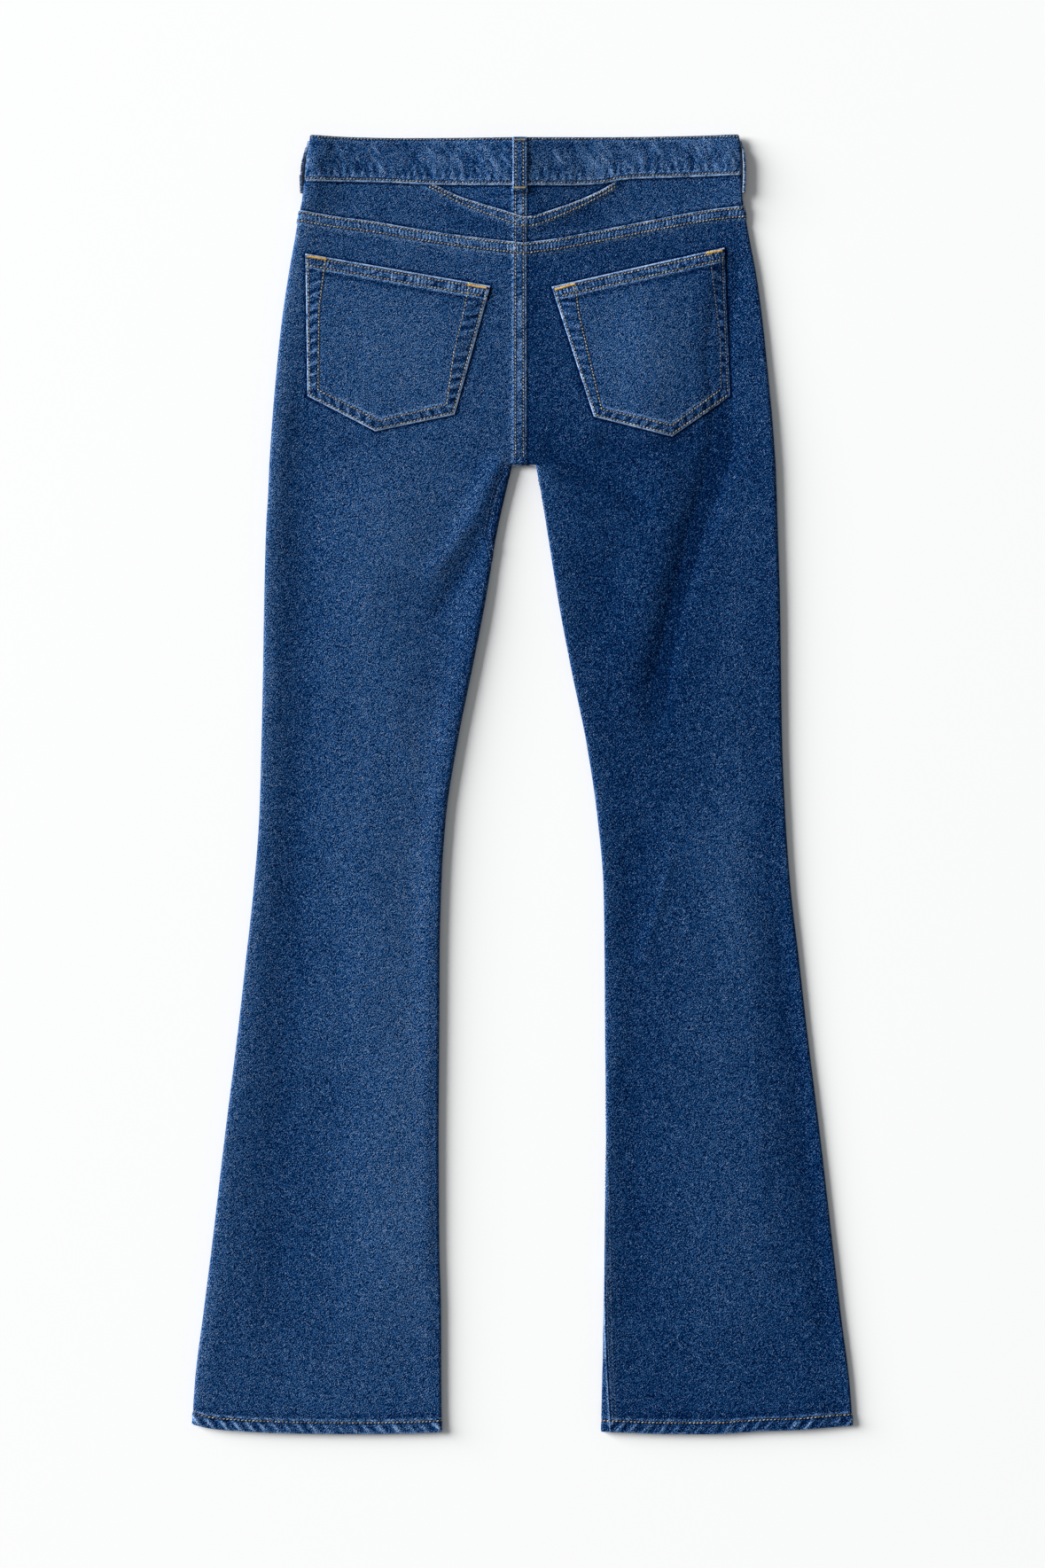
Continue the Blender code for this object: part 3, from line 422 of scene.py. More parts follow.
def seat_loop(side, y, end, closing=0.0):
    """The same for the seat's back, as far as X = end beside the centre back seam."""
    p = P_SEAT
    yr = np.full(p.shape, float(y))
    X = np.full(p.shape, 150.0)
    xi = float(leg_inner[side](CROTCH_Y))
    for k in range(3):
        if k:
            yr = stretched(side, X, float(y))
        xo, ro = outer(side, yr), out_r(side, yr)
        a = (p - 1.5) * math.pi
        X = np.select([p < 1, p < 2], [xo - SEAM_IN + (SEAM_IN - ro) * p, xo - ro + ro * np.cos(a)],
                      xo - ro + (end - xo + ro) * (p - 2))
    base = side_lift(side, xo, yr)
    u = np.clip((xi + FOLD_R - X) / FOLD_R, 0, 1)
    full = top(side, X, yr)
    low = FOLD_R + (full - FOLD_R) * np.sqrt(1 - u**2)
    z = np.select([p < 1, p < 2], [base, base + ro + ro * np.sin(a)], full + (low - full) * closing)
    return X, yr, z


def run_of(*parts):
    """Length along a line of points."""
    q = np.stack(parts, axis=1)
    return np.concatenate([[0], np.cumsum(np.linalg.norm(np.diff(q, axis=0), axis=1))])


def cut_row(side, loop, at, closing=0.0):
    """Points and outward directions at the lengths at along a dense outline."""
    X, yr, z = loop
    s = run_of(X, yr, z)
    px, py, pz = (np.interp(at, s, q) for q in (X, yr, z))
    tx = np.interp(at + 0.35, s, X) - np.interp(at - 0.35, s, X)
    tz = np.interp(at + 0.35, s, z) - np.interp(at - 0.35, s, z)
    size = np.maximum(np.hypot(tx, tz), 1e-9)
    # the outline runs under, out, over and back in, so out of the cloth is to its right
    n = np.stack([side * tz / size, 0 * at, -tx / size], axis=1)
    xi = float(leg_inner[side](CROTCH_Y))
    w = closing * np.clip((xi + FOLD_R - px) / FOLD_R, 0, 1)[:, None]
    n = n * np.sqrt(1 - w**2) + np.array([0.0, -1.0, 0.0]) * w
    return np.stack([side * px, py, pz], axis=1), n / np.linalg.norm(n, axis=1, keepdims=True)


# ------------------------------------------------------------------ meshes
def srgb(r, g, b):
    return tuple(c / 255 / 12.92 if c <= 10 else ((c / 255 + 0.055) / 1.055) ** 2.4 for c in (r, g, b))


def zipped(a, ta, b, tb):
    """Faces between two rows of points: quads where they match, triangles where one is finer."""
    if len(a) == len(b):
        return [np.stack([a[:-1], a[1:], b[1:], b[:-1]], axis=1)], []
    i, j, tris = 0, 0, []
    while i < len(a) - 1 or j < len(b) - 1:
        if j == len(b) - 1 or (i < len(a) - 1 and ta[i + 1] <= tb[j + 1] + 1e-9):
            tris.append((a[i], a[i + 1], b[j]))
            i += 1
        else:
            tris.append((a[i], b[j + 1], b[j]))
            j += 1
    return [], [np.array(tris)]


def new_mesh(name, co, faces, uv=None, attributes=(), smooth=40.0):
    """A mesh in metres in the CAD's frame from millimetres. faces are arrays of quads and triangles."""
    co = np.asarray(co, float) * 0.001
    co[:, 1] -= LENGTH / 2000
    loops = np.concatenate([f.reshape(-1) for f in faces]).astype(np.int32)
    sizes = np.concatenate([np.full(len(f), f.shape[1]) for f in faces]).astype(np.int32)
    mesh = bpy.data.meshes.new(name)
    mesh.vertices.add(len(co))
    mesh.vertices.foreach_set("co", co.astype(np.float32).ravel())
    mesh.loops.add(len(loops))
    mesh.loops.foreach_set("vertex_index", loops)
    mesh.polygons.add(len(sizes))
    mesh.polygons.foreach_set("loop_start", np.concatenate([[0], np.cumsum(sizes)[:-1]]).astype(np.int32))
    mesh.update(calc_edges=True)
    if mesh.validate():
        print("mended mesh", name)
    for key, values in attributes:
        layer = mesh.attributes.new(key, "FLOAT_VECTOR", "POINT")
        layer.data.foreach_set("vector", np.asarray(values, np.float32).ravel())
    if uv is not None:
        layer = mesh.uv_layers.new(name="OFBake")
        layer.uv.foreach_set("vector", np.asarray(uv, np.float32).ravel())
    mesh.shade_smooth()
    if smooth:
        mesh.set_sharp_from_angle(angle=math.radians(smooth))
    ob = bpy.data.objects.new(name, mesh)
    bpy.context.scene.collection.objects.link(ob)
    return ob


class Cloth:
    """The outer face of a piece of cloth, row by row, from which its shell is made."""

    def __init__(self):
        self.rows = []     # first and last index of each row
        self.p, self.n, self.cloth, self.wear, self.wall, self.t, self.extra = [], [], [], [], [], [], []
        self.count = 0

    def add(self, p, n, cloth, wear, wall=DENIM, extra=None):
        k = len(p)
        self.rows.append((self.count, self.count + k))
        self.p.append(p)
        self.n.append(n)
        self.cloth.append(np.stack([cloth[0], cloth[1], 0 * cloth[0]], axis=1))
        self.wear.append(np.stack(wear, axis=1))
        self.wall.append(np.broadcast_to(np.asarray(wall, float), (k,)))
        self.t.append(np.linspace(0, 1, k))
        self.extra.append(extra)
        self.count += k

    def shell(self, name, every=4, columns=60):
        p, n = np.concatenate(self.p), np.concatenate(self.n)
        cloth, wear = np.concatenate(self.cloth), np.concatenate(self.wear)
        wall, t = np.concatenate(self.wall), np.concatenate(self.t)
        v = np.concatenate([np.full(b - a, r / (len(self.rows) - 1)) for r, (a, b) in enumerate(self.rows)])
        outer_rows = [np.arange(a, b) for a, b in self.rows]
        last = len(self.rows) - 1
        picked = sorted(set(list(range(0, last, every)) + [1, last - 1, last])) if last > 3 else list(range(last + 1))
        columns = min(columns, min(len(r) for r in outer_rows))
        inner_rows, source = [], []
        for r in picked:
            ids = outer_rows[r][np.round(np.linspace(0, len(outer_rows[r]) - 1, columns)).astype(int)]
            inner_rows.append(self.count + len(source) + np.arange(columns))
            source.extend(ids)
        source = np.array(source)
        co = np.concatenate([p, p[source] - n[source] * wall[source][:, None]])
        tu, tv = np.concatenate([t, t[source]]), np.concatenate([v, v[source]])
        parts = []  # (faces, group)

        def strip(a, ta, b, tb, group, turned=False):
            for f in sum(zipped(a, ta, b, tb), []):
                if len(f):
                    parts.append((f[:, ::-1] if turned else f, group))

        for a, b in zip(outer_rows, outer_rows[1:]):
            strip(a, t[a], b, t[b], 0)
        for a, b in zip(inner_rows, inner_rows[1:]):
            strip(a, tu[a], b, tu[b], 1, True)
        strip(inner_rows[0], tu[inner_rows[0]], outer_rows[0], t[outer_rows[0]], 2)
        strip(outer_rows[-1], t[outer_rows[-1]], inner_rows[-1], tu[inner_rows[-1]], 3)
        first, end = np.array([r[0] for r in outer_rows]), np.array([r[-1] for r in outer_rows])
        first_in, end_in = np.array([r[0] for r in inner_rows]), np.array([r[-1] for r in inner_rows])
        strip(first, tv[first], first_in, tv[first_in], 4)
        strip(end_in, tv[end_in], end, tv[end], 5)

        away = 0.008
        chart = np.stack([0.02 + 0.78 * tu, 0.02 + 0.96 * tv], axis=1)
        inside = np.stack([0.86 + 0.12 * tu, 0.02 + 0.96 * tv], axis=1)
        is_in = (np.arange(len(co)) >= self.count)[:, None]
        shift = {2: (0, -away), 3: (0, away), 4: (-away, 0), 5: (away, 0)}
        uv = []
        for f, group in parts:
            ids = f.reshape(-1)
            if group == 0:
                uv.append(chart[ids])
            elif group == 1:
                uv.append(inside[ids])
            else:
                uv.append(chart[ids] + is_in[ids] * np.array(shift[group]))
        a, b, c = (p[self.rows_grid()[k]] for k in range(3))
        faces = [f for f, _ in parts]
        up = (np.cross(b - a, c - a) * n[self.rows_grid()[0]]).sum()
        if up < 0:
            faces = [f[:, ::-1] for f in faces]
            uv = [u.reshape(f.shape[0], f.shape[1], 2)[:, ::-1].reshape(-1, 2) for u, f in zip(uv, faces)]
        cloth_all = np.concatenate([cloth, cloth[source] + np.array([0, 0, 9.0])])
        # the tone attribute: worn dye together with painted light and shade
        wear_all = np.concatenate([wear, wear[source] * 0.3])
        ob = new_mesh(name, co, faces, np.concatenate(uv), [("cloth", cloth_all), ("wear", wear_all)])
        return ob

    def rows_grid(self):
        """Three corners of a sample of outer cells, for their direction."""
        a, b, c = [], [], []
        for (s0, e0), (s1, e1) in list(zip(self.rows, self.rows[1:]))[::7]:
            if e0 - s0 == e1 - s1:
                k = np.arange(0, e0 - s0 - 1, 5)
                a.append(s0 + k)
                b.append(s0 + k + 1)
                c.append(s1 + k)
        return np.concatenate(a), np.concatenate(b), np.concatenate(c)


# ------------------------------------------------------------------ relief, worn edges and painted light and shade of the seams
def worn(s, seed, least=0.2):
    """How much of the light core shows along a folded edge: never even."""
    return np.clip(0.8 + 0.42 * noise(s / 5.5, 0.3, seed) + 0.34 * noise(s / 1.7, 0.7, seed + 1), least, None)


def felled(d, s, wide, rows, seed, high=BAND_HIGH, period=5.0, shade=1.0, deep=0.3, line=2.0, rungs=1.0, patches=0.0):
    """A felled seam seen across: d from its folded edge, s along it. Height, and tone in 1/255."""
    inside = (d >= 0) & (d < wide + 9)
    round_edge = np.sqrt(np.clip(1 - (1 - np.clip(d / 0.9, 0, 1)) ** 2, 0, 1))
    z = high * round_edge * (1 - ease(wide - 0.6, wide + 2.0, d))
    rope = roping(s, period, seed, 0.35, d)
    rung = roping(s, 2.95, seed + 3, 0.12, d)
    bright = np.clip(rung, 0, None) ** 1.3
    between = ease(rows[0] + 0.2, rows[0] + 1.4, d) * (1 - ease(rows[1] - 1.5, rows[1] - 0.3, d))
    z = z + rope * (0.26 * between + 0.16 * bell(d - rows[1] - 2.0, 1.6)) + 0.14 * rung * between
    for row in rows:
        z = z - deep * bell(d - row, 0.75)
    tone = 165 * bell(d - 0.45, 0.85) * worn(s, seed + 1)
    # the puckers between the rows: lighter crests, worn dye and partly painted light
    tone = tone + shade * between * (rungs * (172 * bright + 2) + 24 * rope)
    tone = tone + patches * between * np.clip(clouds(s / 9.0, d / 5.0, seed + 9, 2) + 0.1, 0, None)
    tone = tone + shade * (50 * bell(d - rows[1] - line, 1.1) * (1 + 0.6 * rope) + 6 * bell(d - rows[1] - line - 2.0, 3.0) * (1 + 2 * rope))
    # painted shade in each stitch groove
    for row in rows:
        tone = tone - 42 * bell(d - row, 1.15)
    return np.where(inside, z, 0.0), np.where(inside, tone, 0.0)


def under_edge(d):
    """What lies beyond a seam's folded edge, d away from it: pressed down a little, and in its shade."""
    z = -0.55 * (1 - ease(-0.2, 2.2, d))
    tone = -58 * bell(np.clip(d, 0, None), 1.5)
    return z, tone


def yoke_line(side, X):
    """Height and slope of the leg's folded edge along the yoke."""
    y = yoke_edge[side](X)
    slope = (yoke_edge[side](X + 1.0) - yoke_edge[side](X - 1.0)) / 2
    return y - GAP / 2, np.cos(np.arctan(slope))


def centre_seam(side, X, yr, seed):
    """Relief and tone beside the centre back seam; below the crotch there is none."""
    d = CB_EDGE - side * X
    on = ease(840.0, 841.0, yr)
    if side == LEFT:
        z, tone = felled(d, yr, CB_WIDE, CB_ROWS, seed, high=0.6, period=5.4, rungs=0.3, patches=90.0)
        tone = tone + 24 * bell(d - 0.45, 0.8)
    else:
        out = np.clip(-d, 0, None)
        z = -0.2 * (1 - ease(1.6, 5.0, out)) - 0.3 * (1 - ease(-0.4, 1.8, -d))
        # the right side: a painted shadow along the left side's folded edge, and a broad darker band beside it
        tone = -30 * bell(out, 1.2) - 11 * bell(out, 16.0)
    return z * on, tone * on


def grain(x, y, seed):
    """Slow unevenness of the dye and the nap."""
    return 2.6 * clouds(x / 15.0, y / 19.0, seed, 3)


PIECES = {}
LINES = {}


def finish_piece(ob, node):
    ob.name = "cloth_" + node
    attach(ob, "root")
    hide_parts(node)
    PIECES[node] = ob
    return ob


# ------------------------------------------------------------------ back legs
def spaced(a, b, step):
    n = max(1, int(round((b - a) / step)))
    return list(a + (b - a) * np.arange(n) / n)


FINE = 20
MID = 92


def back_rows():
    rows = []
    for y in [0.0, 0.3, 0.7, 1.2] + spaced(1.9, 16.0, 0.9):
        rows.append((y, "leg", 0.0, 2))
    for y in spaced(16.0, 837.0, 1.85) + [837.0, 838.4, 839.6, 840.5]:
        rows.append((y, "leg", 0.0, 1))
    for up in (0.0, 0.35, 0.9, 1.6, 2.4, 3.1):
        rows.append((CROTCH_Y + up, "seat", 1 - math.sqrt(max(0.0, 1 - (1 - min(up / FOLD_R, 1)) ** 2)), 1))
    for y in spaced(845.6, 1044.0, 1.6):
        rows.append((y, "seat", 0.0, 1))
    for y in spaced(1044.0, 1058.4, 0.85) + [1058.4, 1059.0, 1059.4, 1059.7, 1059.88, 1060.0]:
        rows.append((y, "seat", 0.0, 2))
    return rows


def back_leg(side, name):
    c = Cloth()
    end_seat = -CB_EDGE if side == LEFT else 2.2
    fine_from, fine_at_crotch = None, None
    for y, kind, closing, double in back_rows():
        if kind == "leg":
            loop = leg_loop(side, y)
            s = run_of(*loop)
            s_fold = float(np.interp(1.0, P_LEG, s))
            s_top = float(np.interp(2.0, P_LEG, s))
            s_in = float(np.interp(3.0, P_LEG, s))
            s_mid = float(np.interp(3.5, P_LEG, s))
            end = s_mid - float(inseam[side](y))
            fine = end - FINE
            fine_at_crotch = float(np.interp(fine, s, loop[0]))
        else:
            loop = seat_loop(side, y, end_seat, closing)
            s = run_of(*loop)
            s_fold = float(np.interp(1.0, P_SEAT, s))
            s_top = float(np.interp(2.0, P_SEAT, s))
            s_in = 1e9
            end = s[-1]
            X_fine = fine_at_crotch + (end_seat + FINE - fine_at_crotch) * float(ease(CROTCH_Y, 905, y))
            fine = float(np.interp(-X_fine, -loop[0][30:], s[30:]))
        at = np.concatenate([np.linspace(0, s_fold, 4)[:-1], np.linspace(s_fold, s_top, 9)[:-1],
                             np.linspace(s_top, fine, MID + 1)[:-1], np.linspace(fine, end, FINE + 1)])
        if double == 2:
            at = np.sort(np.concatenate([at, (at[1:] + at[:-1]) / 2]))
        p, n = cut_row(side, loop, at, closing)
        X, yr = side * p[:, 0], p[:, 1]
        # distance across the cloth as it would be if it were unfolded
        flat = np.where(at < s_top, X[np.searchsorted(at, s_top)] + s_top - at, X)
        if kind == "leg":
            xi = float(leg_inner[side](y) + roll_in[side](y))
            flat = np.where(at > s_in, xi - (at - s_in), flat)
        on_top = ease(s_fold - 2, s_top, at) * (1 - ease(s_in, s_in + 4, at))

        y_yoke, c_yoke = yoke_line(side, np.minimum(flat, 193.0))
        d_yoke = (y_yoke - yr) * c_yoke
        z1, t1 = felled(d_yoke, flat * 1.01 + 7 * side, YOKE_ROWS_AT[1] + 2.0, YOKE_ROWS_AT, 11 + side, line=2.5)
        z2, t2 = centre_seam(side, flat, yr, 21)
        if kind == "leg":
            z2, t2 = 0 * z2, 0 * t2
        cross = np.minimum(z1, z2) if side == LEFT else 0
        z = z1 + z2 - 0.35 * np.clip(cross, 0, None)
        tone = t1 + t2 + sample(FOLD_WEAR_AND_SHADING, side * X, yr) * on_top + grain(flat, yr, 31 + side)
        # hem: turned up twice, one row of stitches
        d_hem = yr - hem_edge[side](X)
        s_hem = flat
        rope = roping(s_hem, 11.5, 41 + side, -0.9, d_hem)
        hem_in = 1 - ease(9.0, 11.5, d_hem)
        low_edge = np.sqrt(np.clip(1 - (1 - np.clip(d_hem / 1.1, 0, 1)) ** 2, 0, 1))
        z = z + np.where(d_hem < 16, (0.75 * low_edge - 0.35) * hem_in + 0.35 * hem_in * rope * bell(d_hem - 5.2, 4.2), 0)
        z = z - 0.3 * bell(d_hem - 9.9, 0.8) + 0.14 * rope * bell(d_hem - 13.0, 2.5)
        # the roping's crests lighter, worn dye and partly painted light, and its troughs painted darker; painted shade
        # in the stitch groove and just above the hem
        streak = np.clip(rope, 0, None) ** 2.2 + 0.5 * np.clip(roping(s_hem, 5.1, 47 + side, -0.7, d_hem), 0, None) ** 2
        bright = 150 if side == LEFT else 138
        tone = tone + np.where(d_hem < 24, (bright * streak - 42 * np.clip(-rope, 0, None) + 2) * bell(d_hem - 4.8, 4.0) + 62 * bell(d_hem - 0.4, 0.8) * (1 + noise(flat / 4, 0.2, 5))
                               - 52 * bell(d_hem - 9.7, 1.15) + 70 * (0.8 + 0.6 * rope) * bell(d_hem - 11.9, 1.0) - 14 * bell(d_hem - 15.5, 3.0), 0)
        # the edge of the panel at the inseam, where it shows on the upper side
        if kind == "leg":
            d_in = end - at
            shown = float(ease(-4.0, 1.0, inseam[side](y)))
            rope_in = roping(yr, 4.8, 61 + side)
            if side == RIGHT:
                # the front panel's folded edge shades it
                tone = tone + shown * (-62 * bell(d_in - 0.2, 1.1) + 18 * (1 + rope_in) * bell(d_in - 2.6, 1.2))
            else:
                tone = tone + shown * ((24 + 20 * noise(yr / 4.0, 0.1, 7)) * bell(d_in - 0.3, 0.9) + 10 * rope_in * bell(d_in - 3.0, 3.0) - 14 * bell(d_in - 4.0, 4.0))
            z = z + shown * (0.25 * bell(d_in - 1.5, 1.6) + 0.12 * rope_in * bell(d_in - 2.5, 2.5))
        # the cloth is worn light where it folds, with a painted highlight added: strong on the left leg's outer fold,
        # which faces the lamp, and wide on the right leg's inner edge, which faces it too
        tone = tone + (24 if side == LEFT else 9) * bell(at - s_top + 0.5, 9.0 if side == LEFT else 5.5) * (0.85 + 0.3 * noise(yr / 30.0, 0.5, 15))
        if kind == "leg":
            inner_highlight_wide = 9.5 + 8.0 * ease(600, 760, yr)
            tone = tone + (3 * bell(at - s_in - 0.5, 5.0) if side == LEFT else 19 * bell(at - s_in - 0.5, inner_highlight_wide)) * (0.85 + 0.3 * noise(yr / 30.0, 2.5, 15))
        # painted light and shade: the right leg's upper side is darker all over, as the light falls from the left; the
        # left thigh slightly lighter, the seat a little lighter
        thigh = ease(540, 660, yr) * (1 - ease(850, 900, yr))
        tone = tone - (17 + 3 * bell(yr - 470, 140.0) + 6 * thigh if side == RIGHT else -thigh) * on_top + 4 * ease(840, 900, yr)
        # the pocket's shade, and the dye kept dark, just outside its edge
        if kind == "seat":
            d_pocket = edge_distance(side * X, yr, POCKET_EDGE[side], True)[0]
            tone = tone - 88 * bell(d_pocket, 1.5)
        wall = np.where(d_hem < 10.5, 2.0, DENIM) - 0.75 * bell(np.clip(d_yoke, 0, None), 0.8)
        if kind == "seat" and side == LEFT:
            wall = wall - 0.6 * bell(np.clip(CB_EDGE + flat, 0, None), 0.8)
        p2 = p + n * z[:, None]
        p2[:, 2] = np.maximum(p2[:, 2], 0.0)
        c.add(p2, n, (side * flat, yr), (tone, 0 * tone, 0 * tone), wall,
              {"d_yoke": d_yoke, "d_cb": CB_EDGE - side * flat, "d_hem": d_hem, "d_in": (end - at) if kind == "leg" else None,
               "at": at, "y": y, "kind": kind})
    LINES[name] = c
    return finish_piece(c.shell(name, 5, 58), name)


def row_line(c, key, value, top_side=None):
    """Across a piece: for each column of the rows with the most points, where key has the value."""
    rows = [i for i, e in enumerate(c.extra) if e.get(key) is not None and len(c.p[i]) == len(c.p[-1 if key != "d_hem" else 0])]
    if key == "d_hem":
        keep = []
        for i in rows:
            if keep and i != keep[-1] + 1:
                break
            keep.append(i)
        rows = keep
    else:
        keep = []
        for i in reversed(rows):
            if keep and i != keep[-1] - 1:
                break
            keep.append(i)
        rows = keep[::-1]
    d = np.array([c.extra[i][key] for i in rows])
    p = np.array([c.p[i] for i in rows])
    n = np.array([c.n[i] for i in rows])
    out_p, out_n = [], []
    for k in range(d.shape[1]):
        dk, pk, nk = (d[:, k], p[:, k], n[:, k]) if d[0, k] <= d[-1, k] else (d[::-1, k], p[::-1, k], n[::-1, k])
        if dk[0] <= value <= dk[-1] and dk[-1] - dk[0] > 1e-6:
            out_p.append([np.interp(value, dk, pk[:, j]) for j in range(3)])
            out_n.append([np.interp(value, dk, nk[:, j]) for j in range(3)])
    return np.array(out_p), np.array(out_n)


def column_line(c, key, value, keep=lambda e: True):
    """Along a piece: for each row, where key has the value."""
    out_p, out_n = [], []
    for i, e in enumerate(c.extra):
        if e is None or e.get(key) is None or not keep(e):
            continue
        d, p, n = e[key], c.p[i], c.n[i]
        order = np.argsort(d)
        d, p, n = d[order], p[order], n[order]
        if d[0] <= value <= d[-1]:
            out_p.append([np.interp(value, d, p[:, j]) for j in range(3)])
            out_n.append([np.interp(value, d, n[:, j]) for j in range(3)])
    return np.array(out_p), np.array(out_n)


back_leg(LEFT, "back_leg_left")
back_leg(RIGHT, "back_leg_right")


# ------------------------------------------------------------------ front legs, on the underside
def hem_relief(d_hem, s, seed):
    rope = roping(s, 11.0, seed, -0.9, d_hem)
    hem_in = 1 - ease(9.0, 11.5, d_hem)
    z = 0.25 * hem_in * rope * bell(d_hem - 5.2, 4.2) - 0.25 * bell(d_hem - 9.9, 0.9)
    # tone along the roping, worn dye and partly painted light and shade; painted shade in the stitch groove
    tone = 25 * rope * bell(d_hem - 5.4, 3.2) + 20 * bell(d_hem - 0.3, 0.9) - 20 * bell(d_hem - 9.9, 0.9) + 16 * bell(d_hem - 12.3, 1.7)
    return z * (d_hem < 16), tone * (d_hem < 22)


def band_front_edge(side, X):
    return band_bottom(side * X) - BAND_DIP * (1 - ease(20, 175, np.abs(X)))


def front_leg(side, name):
    c = Cloth()
    at_crotch = None
    top_y = float(band_bottom(side * (outer(side, 1088.0) - SEAM_IN - GAP))) - 0.35
    leg_y = [0.0, 0.5, 1.2] + spaced(2.2, 17.0, 1.7) + spaced(17.0, 780.0, 4.4) + spaced(780.0, 836.0, 2.4) + [836.0, 838.4, 839.6, 840.5]
    rows = [(y, "leg", 0.0) for y in leg_y]
    for up in (0.0, 0.35, 0.9, 1.6, 2.4, 3.1):
        rows.append((CROTCH_Y + up, "seat", 1 - math.sqrt(max(0.0, 1 - (1 - min(up / FOLD_R, 1)) ** 2))))
    rows += [(y, "seat", 0.0) for y in spaced(846.0, top_y, 3.4) + [top_y]]
    xi0 = float(leg_inner[side](CROTCH_Y))
    for y, kind, closing in rows:
        if kind == "leg":
            X, yr, z = leg_loop(side, y)
            s = run_of(X, yr, z)
            s_mid, s_in = float(np.interp(3.5, P_LEG, s)), float(np.interp(3.0, P_LEG, s))
            start = s_mid - float(inseam[side](y)) + GAP + 0.05
            end = s[-1]
            at = np.concatenate([np.linspace(start, start + 18, 19)[:-1], np.linspace(start + 18, end - 9, 41)[:-1], np.linspace(end - 9, end, 4)])
            p, n = cut_row(side, (X, yr, z), at)
            at_crotch = float(np.interp(start + 18, s, X))
            below = ease(s_mid - 2, s_mid + 5, at)
            flat = leg_inner[side](y) + 3 + (at - s_mid) * 1.0
            # painted shade on the front panel where it shows beyond the inseam, deepest on the left under the thigh
            # roll
            tone_top = (1 - below) * (-7 * (1 - ease(400, 500, y)) - 10 * ease(600, 700, y) - (16 * ease(740, 790, y) if side == LEFT else 0))
            # the inseam's strip of the front panel
            d_in = at - start
            rope = roping(p[:, 1], 4.8, 71 + side)
            dz = 0.15 * rope * bell(d_in - 2.5, 2.2) - 0.2 * bell(d_in - 4.6, 0.8)
            edge_tone = 105 * (1 + 0.5 * noise(p[:, 1] / 4.0, 0.1, 7)) if side == RIGHT else -16.0
            tone = tone_top + (22 * rope + 3) * bell(d_in - 3.0, 2.4) * (1 - below * 0.4) + edge_tone * bell(d_in - 0.5, 0.9) + 10 * bell(d_in - 6.5, 1.5)
        else:
            fly = float(ease(FLY_BOTTOM, FLY_BOTTOM + 8, y))
            start = GAP / 2 - fly * (FLY_OVER if side == LEFT else FLY_UNDER)
            end = float(outer(side, y)) - SEAM_IN - GAP
            X_fine = at_crotch + (start + 18 - at_crotch) * float(ease(CROTCH_Y, 905, y))
            X = np.concatenate([np.linspace(start, X_fine, 19)[:-1], np.linspace(X_fine, end - 9, 41)[:-1], np.linspace(end - 9, end, 4)])
            drop = band_front_edge(side, X) - float(band_front_edge(side, np.array(end)))
            yr = y + drop * float(ease(960, 1080, y))
            z = side_lift(side, X, yr)
            if side == RIGHT:
                z = z + LAYER * float(ease(FLY_BOTTOM - 8, FLY_BOTTOM, y)) * (1 - ease(13, 30, X))
            u = np.clip((xi0 + FOLD_R - X) / FOLD_R, 0, 1)
            z = z + closing * (FOLD_R - GAP) * (1 - np.sqrt(1 - u**2))
            p = np.stack([side * X, yr, z], axis=1)
            n = np.stack([0 * X, -closing * u, -np.sqrt(1 - (closing * u) ** 2)], axis=1)
            flat, at = X, X
            d_in = X - start
            rope = roping(yr, 5.0, 75 + side)
            dz = 0 * X
            tone = 15 * rope * bell(d_in - 3.0, 2.4) + 16 * bell(d_in, 0.9) - 8 * bell(d_in - 6.5, 1.2)
        d_hem = p[:, 1] - hem_edge[side](side * p[:, 0])
        hz, ht = hem_relief(d_hem, flat, 77 + side)
        # nothing of the underside goes below the surface it lies on
        q = p + n * (dz + hz)[:, None]
        q[:, 2] = np.maximum(q[:, 2], 0.0)
        tone = tone + ht + grain(flat, p[:, 1], 81 + side) + 2.0 * clouds(flat / 50, p[:, 1] / 80, 83 + side)
        wall = np.where(d_hem < 10.5, 2.0, DENIM)
        c.add(q, n, (side * flat, p[:, 1]), (tone, 0 * tone, 0 * tone), wall,
              {"d_hem": d_hem, "X": side * p[:, 0], "y": y, "kind": kind, "d_in": d_in})
    LINES[name] = c
    return finish_piece(c.shell(name, 3, 34), name)


front_leg(LEFT, "front_leg_left")
front_leg(RIGHT, "front_leg_right")


# ------------------------------------------------------------------ yokes
def vee_line(side, X):
    slope = (vee_edge[side](X + 1.0) - vee_edge[side](np.maximum(X - 1.0, 0))) / 2
    return vee_edge[side](np.maximum(X, 0)), np.cos(np.arctan(slope))


def yoke_reach(side, X):
    """Lower and upper edge of the yoke's cloth: under the leg's folded edge, up to the insert's seam or the waistband."""
    low = yoke_edge[side](np.minimum(X, 193.0)) - 3.4
    band = band_bottom(side * np.clip(X, -190, 190)) + 0.5
    return low, np.minimum(vee_edge[side](np.maximum(X, 0)), band)


